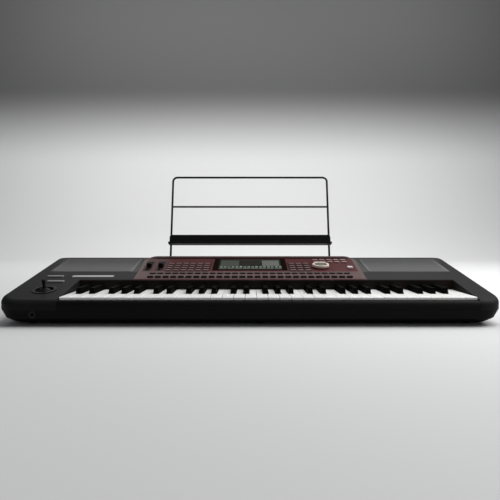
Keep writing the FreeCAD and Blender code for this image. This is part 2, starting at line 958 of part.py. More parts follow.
TAIL_STEP = "(7 * key_pitch / 12)"
domes = new_body("contact_domes")
strip = rectangle(
    domes,
    "strip_line",
    "XY_Plane",
    "-tail_slot / 2",
    f"60 * {TAIL_STEP} + tail_slot / 2",
    "-1.5 * dome_radius",
    "1.5 * dome_radius",
)
pad(domes, "strip", strip, "dome_height / 4")
foot = ("-dome_radius", "dome_radius")
crown = ("-dome_radius / 2", "dome_radius / 2")
bump_low = rectangle(domes, "bump_low", "XY_Plane", *foot, *foot, "dome_height / 4")
bump_high = rectangle(domes, "bump_high", "XY_Plane", *crown, *crown, "dome_height")
bump = loft(domes, "bump", [bump_low, bump_high])
repeat(domes, "bumps", [bump], TAIL_STEP, 61)
put(domes, f"{BED_LEFT} + tail_slot / 2", "contact_start + contact_depth / 2", contact_top)
piece(domes, "key_contact_strip")

springs = new_body("springs")
coil = polygon(springs, "coil_line", "spring_radius")
pad(springs, "coil", coil, "spring_top - frame_floor")
repeat(springs, "coils", None, TAIL_STEP, 61)
put(springs, f"{BED_LEFT} + tail_slot / 2", "key_front + spring_reach", "frame_floor")
piece(springs, "key_return_springs")

STEP_A = f"({THIRD} + tail_slot)"
STEP_B = f"({QUARTER} + tail_slot)"
F_START = "(3 * key_pitch)"
half_gap = "key_gap / 2"
WHITE = {
    "key_c": (0, half_gap, THIRD),
    "key_d": (1, STEP_A, f"{STEP_A} + {THIRD}"),
    "key_e": (2, f"2 * {STEP_A}", f"{F_START} - {half_gap}"),
    "key_f": (3, f"{F_START} + {half_gap}", f"{F_START} + {QUARTER}"),
    "key_g": (4, f"{F_START} + {STEP_B}", f"{F_START} + {STEP_B} + {QUARTER}"),
    "key_a": (5, f"{F_START} + 2 * {STEP_B}", f"{F_START} + 2 * {STEP_B} + {QUARTER}"),
    "key_b": (6, f"{F_START} + 3 * {STEP_B}", f"7 * key_pitch - {half_gap}"),
    "key_top_c": (0, half_gap, f"key_pitch - {half_gap}"),
}
BLACK = {
    "key_c_sharp": f"{THIRD} + tail_slot / 2",
    "key_d_sharp": f"{STEP_A} + {THIRD} + tail_slot / 2",
    "key_f_sharp": f"{F_START} + {QUARTER} + tail_slot / 2",
    "key_g_sharp": f"{F_START} + {STEP_B} + {QUARTER} + tail_slot / 2",
    "key_a_sharp": f"{F_START} + 2 * {STEP_B} + {QUARTER} + tail_slot / 2",
}


def key_tail(body, name, left, right, start, top):
    """Hollow beam of a key with the slot that straddles the pivot rod."""
    line = rectangle(body, name + "_beam_line", "XY_Plane", left, right, start, "tail_end", "key_base")
    pad(body, name + "_beam", line, f"{top} - key_base")
    inner = (f"{left} + beam_wall", f"{right} - beam_wall")
    back = "pivot_reach - 3 * pivot_radius"
    room = rectangle(body, name + "_room_line", "XY_Plane", *inner, f"{start} + beam_wall", back, "key_base")
    pocket(body, name + "_room", room, f"{top} - key_base - beam_wall", back=True)
    near = "pivot_reach - pivot_radius - pivot_play"
    far = "pivot_reach + pivot_radius + pivot_play"
    crown = "pivot_height + pivot_radius + pivot_play"
    saddle = rectangle(body, name + "_saddle_line", "YZ_Plane", near, far, "key_base - 1", crown)
    pocket(body, name + "_saddle", saddle, "80 * key_pitch", middle=True)


def white_key(name, place, tail_left, tail_right):
    body = new_body(name + "_shape")
    left = f"{place} * key_pitch + {half_gap}"
    right = f"{place + 1} * key_pitch - {half_gap}"
    corners = [(left, "0"), (right, "0")]
    if abs(amount(right) - amount(tail_right)) > 0.01:
        corners += [(right, "key_head"), (tail_right, "key_head")]
    corners += [(tail_right, "tail_end"), (tail_left, "tail_end")]
    if abs(amount(left) - amount(tail_left)) > 0.01:
        corners += [(tail_left, "key_head"), (left, "key_head")]
    plan = outline(body, name + "_plan", "XY_Plane", corners, "key_top - key_plate")
    pad(body, name + "_plate", plan, "key_plate")
    lip_ends = (left, right, "0", "key_lip_depth")
    lip = rectangle(body, name + "_lip_line", "XY_Plane", *lip_ends, "key_top - key_lip")
    pad(body, name + "_lip", lip, "key_lip - key_plate")
    narrow = (f"{tail_left} + beam_side", f"{tail_right} - beam_side")
    key_tail(body, name, *narrow, "beam_start", "(key_top - key_plate)")
    bevel = [
        ("-1", "key_top - key_chamfer - 1"),
        ("key_chamfer + 1", "key_top + 1"),
        ("-1", "key_top + 1"),
    ]
    bevel_line = outline(body, name + "_bevel_line", "YZ_Plane", bevel)
    pocket(body, name + "_bevel", bevel_line, "80 * key_pitch", middle=True)
    return body


def black_key(name, centre):
    body = new_body(name + "_shape")
    low = (f"{centre} - black_foot / 2", f"{centre} + black_foot / 2", "black_start", "black_end")
    high = (f"{centre} - black_crown / 2", f"{centre} + black_crown / 2")
    high += ("black_start + black_slope", "black_end - 1")
    foot = rectangle(body, name + "_foot", "XY_Plane", *low, "key_top - beam_wall")
    crown = rectangle(body, name + "_crown", "XY_Plane", *high, "key_top + black_rise")
    loft(body, name + "_cap", [foot, crown])
    sides = (f"{centre} - black_foot / 2 + beam_side", f"{centre} + black_foot / 2 - beam_side")
    key_tail(body, name, *sides, "black_start + black_slope", "(key_top - beam_wall)")
    return body


for name, (place, tail_left, tail_right) in WHITE.items():
    key = white_key(name, place, tail_left, tail_right)
    bed_start = BED_LEFT
    if name == "key_top_c":
        bed_start = f"{BED_LEFT} + 35 * key_pitch"
    else:
        repeat(key, name + "_octaves", None, "7 * key_pitch", 5)
    put(key, bed_start, "key_front", "0")
    piece(key, name)
for name, centre in BLACK.items():
    key = black_key(name, centre)
    repeat(key, name + "_octaves", None, "7 * key_pitch", 5)
    put(key, BED_LEFT, "key_front", "0")
    piece(key, name)

# Control panel: plate, button fields, display, dial, faders and power button

BUTTONS = {
    "front_row_buttons": ("-13 * row_step", "row_front", 27, 1, "row_step"),
    "rear_row_buttons": ("-13 * row_step", "row_rear", 27, 1, "row_step"),
    "style_buttons": ("style_x", "field_front", 6, 4, "field_step"),
    "sound_buttons": ("sound_x", "field_front", 3, 4, "field_step"),
    "mode_buttons": ("mode_x", "mode_front", 5, 2, "field_step"),
}

plate = new_body("panel_plate")
plate_corners = [
    ("-panel_half", "-panel_over"),
    ("panel_half", "-panel_over"),
    ("panel_flare", "panel_length"),
    ("-panel_flare", "panel_length"),
]
plate_line = outline(plate, "plate_line", "XY_Plane", plate_corners)
pad(plate, "plate_sheet", plate_line, "panel_thick")


def rear_corner(edge):
    return upright(edge) and edge.BoundBox.YMin > 0


def upper_rim(edge):
    return edge.BoundBox.ZMin > amount("panel_thick") - 0.01


rounded(plate, "plate_corners", "panel_corner", rear_corner)
chamfered(plate, "plate_bevel", "panel_bevel", upper_rim)
lip_back = "panel_length - panel_bevel"
lip = [
    (f"{lip_back} - lip_deep", "panel_thick - panel_bevel / 2"),
    (lip_back, "panel_thick - panel_bevel / 2"),
    (f"{lip_back} - lip_rise / 4", "panel_thick + lip_rise"),
    (f"{lip_back} - lip_deep + lip_rise", "panel_thick + lip_rise"),
]
lip_line = outline(plate, "lip_line", "YZ_Plane", lip)
pad(plate, "plate_lip", lip_line, "2 * (panel_flare - panel_corner)", middle=True)


def panel_hole(name, left, right, front, back):
    line = rectangle(plate, name + "_line", "XY_Plane", left, right, front, back, "panel_thick")
    return pocket(plate, name, line, "panel_thick")


def panel_ring(name, across, along, radius):
    line = disc(plate, name + "_line", "XY_Plane", across, along, radius, "panel_thick")
    return pocket(plate, name, line, "panel_thick")


for name, (across, along, columns, rows, step) in BUTTONS.items():
    half_wide = "(button_wide / 2 + button_play)"
    half_deep = "(button_deep / 2 + button_play)"
    hole = panel_hole(
        name + "_hole",
        f"{across} - {half_wide}",
        f"{across} + {half_wide}",
        f"{along} - {half_deep}",
        f"{along} + {half_deep}",
    )
    repeat(plate, name + "_holes", [hole], step, columns, "field_rise", rows)
panel_hole(
    "screen_hole",
    "-glass_wide / 2 - button_play",
    "glass_wide / 2 + button_play",
    "screen_front - button_play",
    "screen_front + glass_deep + button_play",
)
panel_ring("dial_hole", "dial_x", "dial_along", "dial_stem + panel_thick")
power_half = "(power_size / 2 + button_play)"
panel_hole(
    "power_hole",
    f"power_x - {power_half}",
    f"power_x + {power_half}",
    f"power_along - {power_half}",
    f"power_along + {power_half}",
)
FADERS = {"master_volume_cap": "fader_first", "balance_cap": "fader_second"}
for name, across in FADERS.items():
    panel_hole(
        name + "_slit",
        f"{across} - fader_slit / 2",
        f"{across} + fader_slit / 2",
        "fader_along - fader_slot / 2",
        "fader_along + fader_slot / 2",
    )
put_on_deck(plate, "0", "0", "0")
piece(plate, "control_panel")


def push_cap(name, wide, deep, thick, rise):
    """Push button: a cap that stands above its plate and a flange that holds it below."""
    body = new_body(name + "_shape")
    flange = rectangle(
        body,
        name + "_flange_line",
        "XY_Plane",
        f"-{wide} / 2 - button_flange",
        f"{wide} / 2 + button_flange",
        f"-{deep} / 2 - button_flange",
        f"{deep} / 2 + button_flange",
        f"-{thick} - button_play - 2 * button_flange",
    )
    pad(body, name + "_flange", flange, "2 * button_flange")
    sides = (f"-{wide} / 2", f"{wide} / 2", f"-{deep} / 2", f"{deep} / 2")
    cap = rectangle(body, name + "_cap_line", "XY_Plane", *sides, f"-{thick} - 2 * button_play")
    pad(body, name + "_cap", cap, f"{thick} + 2 * button_play + {rise}")
    return body


for name, (across, along, columns, rows, step) in BUTTONS.items():
    rise = "row_rise" if name == "front_row_buttons" else "button_rise"
    caps = push_cap(name, "button_wide", "button_deep", "panel_thick", rise)
    repeat(caps, name + "_set", None, step, columns, "field_rise", rows)
    put_on_deck(caps, across, along, "panel_thick")
    piece(caps, name)
power = push_cap("power", "power_size", "power_size", "panel_thick", "power_rise")
put_on_deck(power, "power_x", "power_along", "panel_thick")
piece(power, "power_button")
switches = []
for name, (across, depth) in SWITCHES.items():
    switch = push_cap(f"switch_{name}", "switch_wide", "switch_deep", "wall", "button_rise")
    put_on_deck(switch, across, f"((({depth}) - panel_start) / cos{SLOPE})", "0")
    switches.append(switch)
piece(group("switch_group", switches), "assign_switches")

glass_ends = ("-glass_wide / 2", "glass_wide / 2", "screen_front", "screen_front + glass_deep")
piece(deck_block("glass", *glass_ends, "0", "glass_thick"), "display_glass")
module_ends = (
    "-glass_wide / 2 - module_rim",
    "glass_wide / 2 + module_rim",
    "screen_front - module_rim",
    "screen_front + glass_deep + module_rim",
)
piece(deck_block("module", *module_ends, "-module_thick", "0"), "display_module")
card_ends = ("-window_half + wall", "window_half - wall", "window_start", "window_end - wall")
panel_card = deck_block("panel_card", *card_ends, "-board_depth - board_thick", "-board_depth")

fader_cases = []
for name, across in FADERS.items():
    case = deck_block(
        name + "_case",
        f"{across} - fader_case / 2",
        f"{across} + fader_case / 2",
        "fader_along - fader_slot / 2 - fader_case / 2",
        "fader_along + fader_slot / 2 + fader_case / 2",
        "-board_depth",
        "0",
    )
    track = deck_block(
        name + "_track",
        f"{across} - fader_slit / 2",
        f"{across} + fader_slit / 2",
        "fader_along - fader_slot / 2",
        "fader_along + fader_slot / 2",
        "-board_depth / 2",
        "1",
    )
    fader_cases.append(cut(name + "_housing", case, track))
    cap = new_body(name + "_shape")
    blade = rectangle(
        cap,
        name + "_blade_line",
        "XY_Plane",
        "-fader_slit / 2 + button_play",
        "fader_slit / 2 - button_play",
        "-cap_deep / 4",
        "cap_deep / 4",
        "-board_depth / 4",
    )
    pad(cap, name + "_blade", blade, "board_depth / 4 + panel_thick + cap_rise / 2")
    profile = [
        ("-cap_deep / 2", "panel_thick + button_play"),
        ("cap_deep / 2", "panel_thick + button_play"),
        ("cap_deep / 2 - cap_waist / 2", "panel_thick + cap_rise"),
        ("cap_waist", "panel_thick + cap_rise - cap_waist / 2"),
        ("cap_waist / 4", "panel_thick + cap_rise - cap_waist"),
        ("-cap_waist / 4", "panel_thick + cap_rise - cap_waist"),
        ("-cap_waist", "panel_thick + cap_rise - cap_waist / 2"),
        ("-cap_deep / 2 + cap_waist / 2", "panel_thick + cap_rise"),
    ]
    knob = outline(cap, name + "_knob_line", "YZ_Plane", profile)
    pad(cap, name + "_knob", knob, "cap_wide", middle=True)
    put_on_deck(cap, across, "fader_along", "0")
    piece(cap, name)

dial = new_body("dial_shape")
stem_low = "-(panel_thick + dial_gap + board_depth / 2)"
profile = [
    ("0", stem_low),
    ("dial_stem - pivot_play", stem_low),
    ("dial_stem - pivot_play", "0"),
    ("dial_radius", "0"),
    ("dial_radius", "dial_rise - dial_flute"),
    ("dial_radius - dial_flute", "dial_rise"),
    ("dial_radius - 3 * dial_flute", "dial_rise"),
    ("dial_radius - 4 * dial_flute", "dial_rise - dial_flute / 2"),
    ("0", "dial_rise - dial_flute"),
]
turned(dial, "dial_knob", outline(dial, "dial_profile", "XZ_Plane", profile), "Z_Axis")
groove = [
    ("dial_radius - 0.7 * dial_flute", "0"),
    ("dial_radius + dial_flute", "-1.2 * dial_flute"),
    ("dial_radius + dial_flute", "1.2 * dial_flute"),
]
flute_line = outline(dial, "flute_line", "XY_Plane", groove, "dial_flute")
flute = pocket(dial, "flute", flute_line, "dial_rise - 3 * dial_flute", back=True)
flutes = dial.newObject("PartDesign::PolarPattern", "flutes")
flutes.Originals = [flute]
flutes.Axis = (origin_part(dial, "Z_Axis"), [""])
flutes.Angle = 360
flutes.Occurrences = 30
dial.Tip = flutes
dimple_at = ("XY_Plane", "dial_radius / 2", "0")
dimple_low = disc(dial, "dimple_low", *dimple_at, "dial_dimple / 2", "dial_rise - dial_dimple / 2")
dimple_high = disc(dial, "dimple_high", *dimple_at, "dial_dimple", "dial_rise + dial_flute")
loft(dial, "dimple", [dimple_low, dimple_high], remove=True)
put_on_deck(dial, "dial_x", "dial_along", "panel_thick + dial_gap")
piece(dial, "value_dial")

encoder = new_body("encoder_shape")
half = "(dial_radius / 2.6)"
encoder_ends = (f"-{half}", half, f"-{half}", half)
encoder_line = rectangle(encoder, "encoder_line", "XY_Plane", *encoder_ends, "-board_depth")
pad(encoder, "encoder_block", encoder_line, "board_depth")
neck = disc(encoder, "neck_line", "XY_Plane", "0", "0", "dial_stem + panel_thick - button_play")
pad(encoder, "neck", neck, "panel_thick")
throat = disc(encoder, "throat_line", "XY_Plane", "0", "0", "dial_stem", "panel_thick")
pocket(encoder, "throat", throat, "panel_thick + 0.7 * board_depth")
put_on_deck(encoder, "dial_x", "dial_along", "0")
piece(join("panel_card_loaded", [panel_card, encoder] + fader_cases), "panel_board")

# Speakers: slotted grilles in the deck, baffles and drivers below

grilles = []
for side, (left, right) in SIDES.items():
    grille = new_body(f"grille_{side}")
    sheet_line = rectangle(
        grille, f"grille_{side}_line", "XY_Plane", left, right, "grille_front", "grille_back", "-grille_sink"
    )
    pad(grille, f"grille_{side}_sheet", sheet_line, "grille_thick")
    first_x = f"({left} + {right}) / 2 - 1.5 * slot_step"
    first_y = "(grille_front + grille_back) / 2 - 6 * slot_rise"
    slot_line = rectangle(
        grille,
        f"grille_{side}_slot_line",
        "XY_Plane",
        f"{first_x} - slot_long / 2",
        f"{first_x} + slot_long / 2",
        f"{first_y} - slot_high / 2",
        f"{first_y} + slot_high / 2",
        "grille_thick",
    )
    slot = pocket(grille, f"grille_{side}_slot", slot_line, "2 * grille_thick")
    repeat(grille, f"grille_{side}_slots", [slot], "slot_step", 4, "slot_rise", 13)
    put_on_deck(grille, "0", "0", "0")
    grilles.append(grille)
piece(group("grille_group", grilles), "speaker_grilles")

baffles = []
for side, (left, right) in SIDES.items():
    sign = "-" if side == "left" else ""
    board = deck_block(
        f"baffle_board_{side}", left, right, "grille_front", "grille_back", "-wall - baffle_thick", "-wall"
    )
    ports = []
    for name, across, radius in (
        ("woofer", f"{sign}woofer_x", "woofer_radius - 2 * wall"),
        ("tweeter", f"{sign}tweeter_x", "tweeter_radius - 2 * wall"),
    ):
        port = column(f"{name}_port_{side}", radius, "3 * baffle_thick")
        put_on_deck(port, across, "speaker_along", "-wall - 2 * baffle_thick")
        ports.append(port)
    baffles.append(cut(f"baffle_{side}", board, group(f"ports_{side}", ports)))
piece(group("baffle_group", baffles), "speaker_baffles")


def driver(name, label, across, profile):
    """A round driver turned about its axis, and its twin on the other side."""
    body = new_body(name)
    turned(body, name + "_turned", outline(body, name + "_profile", "XZ_Plane", profile), "Z_Axis")
    repeat(body, name + "_pair", None, f"2 * {across}", 2)
    put_on_deck(body, f"-{across}", "speaker_along", "-wall - baffle_thick")
    piece(body, label)


basket = [
    ("0", "-woofer_depth"),
    ("magnet_radius", "-woofer_depth"),
    ("magnet_radius", "-0.66 * woofer_depth"),
    ("woofer_radius", "-wall"),
    ("woofer_radius", "0"),
    ("woofer_radius - 2.5 * wall", "0"),
    ("magnet_radius - wall", "-0.63 * woofer_depth"),
    ("0", "-0.63 * woofer_depth"),
]
driver("woofer_basket", "woofer_baskets", "woofer_x", basket)
cone = [
    ("0", "-0.4 * woofer_depth"),
    ("magnet_radius / 2.3", "-0.48 * woofer_depth"),
    ("woofer_radius - 3.1 * wall", "0"),
    ("woofer_radius - 2.1 * wall", "0"),
    ("woofer_radius - 2.1 * wall", "0.2 * wall"),
    ("woofer_radius - 3.3 * wall", "0.2 * wall"),
    ("magnet_radius / 2.4", "-0.45 * woofer_depth"),
    ("0", "-0.37 * woofer_depth"),
]
driver("woofer_cone", "woofer_cones", "woofer_x", cone)
tweeter = [
    ("0", "-tweeter_depth"),
    ("0.6 * tweeter_radius", "-tweeter_depth"),
    ("0.66 * tweeter_radius", "-wall"),
    ("tweeter_radius", "-wall"),
    ("tweeter_radius", "0"),
    ("0.7 * tweeter_radius", "0"),
    ("0.58 * tweeter_radius", "-wall"),
    ("0.34 * tweeter_radius", "-wall / 3"),
    ("0", "0"),
]
driver("tweeter", "tweeters", "tweeter_x", tweeter)

# Joystick: cup in the left cheek, gimbal ring on trunnions, stick with a dome

cup = new_body("cup_shape")
cup_in = "cup_radius - cup_wall"
profile = [
    ("0", "-cup_depth"),
    ("cup_radius", "-cup_depth"),
    ("cup_radius", "0"),
    ("cup_flange", "0"),
    ("cup_flange", "cup_wall / 2"),
    (cup_in, "cup_wall / 2"),
    (cup_in, "-cup_depth + cup_wall"),
    ("0", "-cup_depth + cup_wall"),
]
turned(cup, "cup_turned", outline(cup, "cup_profile", "XZ_Plane", profile), "Z_Axis")
ear = disc(cup, "ear_line", "YZ_Plane", "0", "-gimbal_depth", "trunnion + pivot_play")
pocket(cup, "ear", ear, "3 * cup_radius", middle=True)
put_on_deck(cup, "stick_x", STICK_ALONG, "0")
piece(cup, "joystick_cup")

gimbal = new_body("gimbal_shape")
pin = disc(gimbal, "pin_line", "YZ_Plane", "0", "0", "trunnion")
pad(gimbal, "pin", pin, "2 * cup_radius - 1", middle=True)
core = disc(gimbal, "core_line", "XY_Plane", "0", "0", "gimbal_radius - gimbal_wall / 2", "2 * trunnion")
pocket(gimbal, "core", core, "4 * trunnion")
ring_in = "gimbal_radius - gimbal_wall"
ring = rectangle(
    gimbal, "ring_line", "XZ_Plane", ring_in, "gimbal_radius", "-gimbal_thick / 2", "gimbal_thick / 2"
)
turned(gimbal, "ring", ring, "Z_Axis")
lug = disc(gimbal, "lug_line", "XZ_Plane", "0", "0", "trunnion + pivot_play")
pocket(gimbal, "lug", lug, "3 * gimbal_radius", middle=True)
put_on_deck(gimbal, "stick_x", STICK_ALONG, "-gimbal_depth")
piece(gimbal, "joystick_gimbal")

stick = new_body("stick_shape")
tilts = [f"({27 + 18 * i} deg)" for i in range(4)]
outer = [(f"dome_shell * cos{tilt}", f"dome_shell * sin{tilt}") for tilt in tilts]
inner = [(f"dome_inside * cos{tilt}", f"dome_inside * sin{tilt}") for tilt in reversed(tilts)]
turned(stick, "shade", outline(stick, "shade_profile", "XZ_Plane", outer + inner), "Z_Axis")
tip = "gimbal_depth + stick_height"
profile = [
    ("0", "-gimbal_thick"),
    ("1.4 * stick_radius", "-gimbal_thick"),
    ("1.4 * stick_radius", "gimbal_thick"),
    ("0.72 * stick_radius", f"{tip} - 3 * stick_radius"),
    ("stick_radius", f"{tip} - 1.6 * stick_radius"),
    ("stick_radius", f"{tip} - 0.5 * stick_radius"),
    ("0.6 * stick_radius", tip),
    ("0", tip),
]
turned(stick, "lever", outline(stick, "lever_profile", "XZ_Plane", profile), "Z_Axis")
axle = disc(stick, "axle_line", "XZ_Plane", "0", "0", "trunnion")
pad(stick, "axle", axle, "2 * gimbal_radius - 0.6", middle=True)
put_on_deck(stick, "stick_x", STICK_ALONG, "-gimbal_depth")
piece(stick, "joystick_stick")

# Sockets in the rear wall and the front edge


def jack(name, radius):
    """Round socket lying along y: a collar outside the wall and a bored barrel behind it."""
    body = new_body(name)
    collar = disc(body, name + "_collar_line", "XZ_Plane", "0", "0", f"{radius} + collar_over", "-wall / 2")
    pad(body, name + "_collar", collar, "wall / 2")
    tube = disc(body, name + "_tube_line", "XZ_Plane", "0", "0", radius)
    pad(body, name + "_tube", tube, "jack_length")
    return body


line_out = jack("line_out", "jack_radius")
hole = disc(line_out, "line_bore_line", "XZ_Plane", "0", "0", "jack_bore", "-wall")
pocket(line_out, "line_bore", hole, "jack_length", back=True)
repeat(line_out, "line_set", None, "jack_step", 4)
put(line_out, "jack_x", "case_depth", "socket_height")
piece(line_out, "line_jacks")

midi = jack("midi", "midi_radius")
well = disc(midi, "midi_well_line", "XZ_Plane", "0", "0", "midi_radius - midi_wall", "-wall")
pocket(midi, "midi_well", well, "2 * wall", back=True)
PINS = [("0", "0.55"), ("0.39", "0.39"), ("-0.39", "0.39"), ("0.53", "0.14"), ("-0.53", "0.14")]
for i, (across, up) in enumerate(PINS):
    ends = [f"{part} * midi_radius {sign} midi_wall / 2" for part in (across, up) for sign in "-+"]
    contact = rectangle(midi, f"midi_pin_line_{i}", "XZ_Plane", *ends, "wall / 2")
    pocket(midi, f"midi_pin_{i}", contact, "2 * wall", back=True)
repeat(midi, "midi_set", None, "midi_step", 3)
put(midi, "midi_x", "case_depth", "socket_height")
piece(midi, "midi_sockets")

phones = jack("phones", "jack_radius")
hole = disc(phones, "phones_bore_line", "XZ_Plane", "0", "0", "jack_bore", "-wall")
pocket(phones, "phones_bore", hole, "jack_length", back=True)
phones.Placement = Placement(Vector(), Rotation(Vector(0, 0, 1), 180))
put(phones, "phones_x", "wall / 2", "phones_height")
piece(phones, "headphone_jack")

usb = new_body("usb_shape")
usb_ends = ("-usb_wide / 2", "usb_wide / 2", "-usb_high / 2", "usb_high / 2")
pad(usb, "usb_can", rectangle(usb, "usb_can_line", "XZ_Plane", *usb_ends), "jack_length / 2")
usb_in = [f"{end} {sign} wall / 4" for end, sign in zip(usb_ends, ("+", "-", "+", "-"))]
mouth_line = rectangle(usb, "usb_mouth_line", "XZ_Plane", *usb_in)
pocket(usb, "usb_mouth", mouth_line, "jack_length / 3", back=True)
tongue_ends = ("-usb_wide / 3", "usb_wide / 3", "-usb_high / 8", "usb_high / 6")
tongue = rectangle(usb, "usb_tongue_line", "XZ_Plane", *tongue_ends, "wall / 2")
pad(usb, "usb_tongue", tongue, "jack_length / 3")
repeat(usb, "usb_set", None, "usb_step", 2)
put(usb, "usb_x", "case_depth", "socket_height")
piece(usb, "usb_sockets")

inlet = new_body("inlet_shape")
can_ends = ("-inlet_wide / 2", "inlet_wide / 2", "-inlet_high / 2", "inlet_high / 2")
flange_ends = [f"{end} {sign} wall" for end, sign in zip(can_ends, "-+-+")]
flange = rectangle(inlet, "inlet_flange_line", "XZ_Plane", *flange_ends, "-wall / 2")
pad(inlet, "inlet_flange", flange, "wall / 2")
pad(inlet, "inlet_can", rectangle(inlet, "inlet_can_line", "XZ_Plane", *can_ends), "inlet_deep")
mouth = (
    ("-inlet_wide / 2 + wall", "-inlet_high / 2 + wall"),
    ("inlet_wide / 2 - wall", "-inlet_high / 2 + wall"),
    ("inlet_wide / 2 - wall", "inlet_high / 2 - 2 * wall"),
    ("inlet_wide / 2 - 2 * wall", "inlet_high / 2 - wall"),
    ("-inlet_wide / 2 + 2 * wall", "inlet_high / 2 - wall"),
    ("-inlet_wide / 2 + wall", "inlet_high / 2 - 2 * wall"),
)
mouth_line = outline(inlet, "inlet_mouth_line", "XZ_Plane", mouth, "-wall")
pocket(inlet, "inlet_mouth", mouth_line, "inlet_deep", back=True)
for i, (across, up) in enumerate((("0", "wall"), ("-2 * wall", "-0.5 * wall"), ("2 * wall", "-0.5 * wall"))):
    left = f"{across} - wall / 3"
    right = f"{across} + wall / 3"
    ends = (left, right, f"{up} - wall / 2", f"{up} + wall / 2")
    blade = rectangle(inlet, f"inlet_pin_line_{i}", "XZ_Plane", *ends, "wall")
    pad(inlet, f"inlet_pin_{i}", blade, "inlet_deep - 2 * wall")
put(inlet, "inlet_x", "case_depth", "socket_height")
piece(inlet, "power_inlet")

# Boards on the floor of the case


def floor_board(name, centre, wide):
    ends = (f"{centre} - {wide} / 2", f"{centre} + {wide} / 2", "boards_from", "boards_from + main_deep")
    return block(name, *ends, "rail_height", "rail_height + board_thick")


def on_board(name, centre, shift, depth, wide, deep, tall):
    """A component standing on a floor board."""
    left = f"{centre} + ({shift}) - ({wide}) / 2"
    right = f"{centre} + ({shift}) + ({wide}) / 2"
    front = f"boards_from + ({depth})"
    top = f"rail_height + board_thick + ({tall})"
    return block(name, left, right, front, f"{front} + ({deep})", "rail_height + board_thick / 2", top)


main = [floor_board("main_card", "main_x", "main_wide")]
processor = ("main_deep / 3", "main_deep / 4", "main_deep / 4", "2 * board_thick")
main.append(on_board("main_processor", "main_x", "0", *processor))
chip = ("main_deep / 3", "main_wide / 24", "main_deep / 6", "board_thick")
for i in range(4):
    main.append(on_board(f"main_chip_{i}", "main_x", f"main_wide * (2 + {i}) / 14", *chip))
plug = ("main_deep / 12", "main_wide / 11", "main_deep / 16", "5 * board_thick")
for i in range(3):
    main.append(on_board(f"main_plug_{i}", "main_x", f"-main_wide * (1 + {i}) / 8", *plug))
piece(join("main_loaded", main), "main_board")

amp = [floor_board("amp_card", "amp_x", "amp_wide")]
for i in range(2):
    shift = f"amp_wide * ({i} - 0.5) / 2"
    chip = ("main_deep / 2", "amp_wide / 6", "main_deep / 16", "8 * board_thick")
    amp.append(on_board(f"amp_chip_{i}", "amp_x", shift, *chip))
    coil = post(
        f"amp_can_{i}",
        "amp_wide / 14",
        f"amp_x + {shift}",
        "boards_from + main_deep / 4",
        "rail_height + board_thick / 2",
        "rail_height + 12 * board_thick",
    )
    amp.append(coil)
piece(join("amp_loaded", amp), "amplifier_board")

supply = [floor_board("supply_card", "supply_x", "supply_wide")]
core = ("main_deep / 3", "supply_wide / 3", "main_deep / 3", "main_deep / 4")
supply.append(on_board("supply_core", "supply_x", "supply_wide / 5", *core))
for i in range(2):
    can = post(
        f"supply_can_{i}",
        "supply_wide / 12",
        f"supply_x - supply_wide * (1 + 2 * {i}) / 9",
        "boards_from + main_deep / 2",
        "rail_height + board_thick / 2",
        "rail_height + main_deep / 4",
    )
    supply.append(can)
piece(join("supply_loaded", supply), "power_supply")

# Music rest: a bent wire frame with a cross wire and a folded shelf

frame = new_body("rest_frame")
path = new_sketch(frame, "rest_path", "XZ_Plane")
half, rise = amount("rest_half"), amount("rest_rise")
bend, low = amount("rest_bend"), -amount("rest_sink")
left_bend = Part.Circle(Vector(-half + bend, rise - bend, 0), Vector(0, 0, 1), bend)
right_bend = Part.Circle(Vector(half - bend, rise - bend, 0), Vector(0, 0, 1), bend)
quarter = 1.5707963267948966
path.addGeometry(Part.LineSegment(Vector(half, low, 0), Vector(half, rise - bend, 0)), False)
path.addGeometry(Part.ArcOfCircle(right_bend, 0, quarter), False)
path.addGeometry(Part.LineSegment(Vector(half - bend, rise, 0), Vector(-half + bend, rise, 0)), False)
path.addGeometry(Part.ArcOfCircle(left_bend, quarter, 2 * quarter), False)
path.addGeometry(Part.LineSegment(Vector(-half, rise - bend, 0), Vector(-half, low, 0)), False)
for i in range(4):
    path.addConstraint(Sketcher.Constraint("Tangent", i, 2, i + 1, 1))
for i in (1, 3):
    number = path.addConstraint(Sketcher.Constraint("Radius", i, bend))
    tie(path, f"Constraints[{number}]", "rest_bend")
path.addConstraint(Sketcher.Constraint("Vertical", 0))
path.addConstraint(Sketcher.Constraint("Vertical", 4))
path.addConstraint(Sketcher.Constraint("Horizontal", 2))
fix(path, "DistanceX", (0, 1), "rest_half")
fix(path, "DistanceY", (0, 1), "-rest_sink")
fix(path, "DistanceY", (2, 1), "rest_rise")
fix(path, "DistanceX", (4, 2), "-rest_half")
fix(path, "DistanceY", (4, 2), "-rest_sink")
wire = disc(frame, "rest_wire_line", "XY_Plane", "rest_half", "0", "rest_wire", "-rest_sink")
bent = frame.newObject("PartDesign::AdditivePipe", "rest_bent_wire")
bent.Profile = wire
bent.Spine = (path, [f"Edge{i + 1}" for i in range(5)])
put_on_rest(frame, "0", "0", "0")
piece(frame, "music_rest_frame")

cross = new_body("rest_crossbar")
cross_line = disc(cross, "cross_line", "YZ_Plane", "0", "rest_cross", "rest_wire * 0.9")
pad(cross, "cross_wire", cross_line, "2 * rest_half - 2 * rest_wire", middle=True)
put_on_rest(cross, "0", "0", "0")
piece(cross, "music_rest_crossbar")

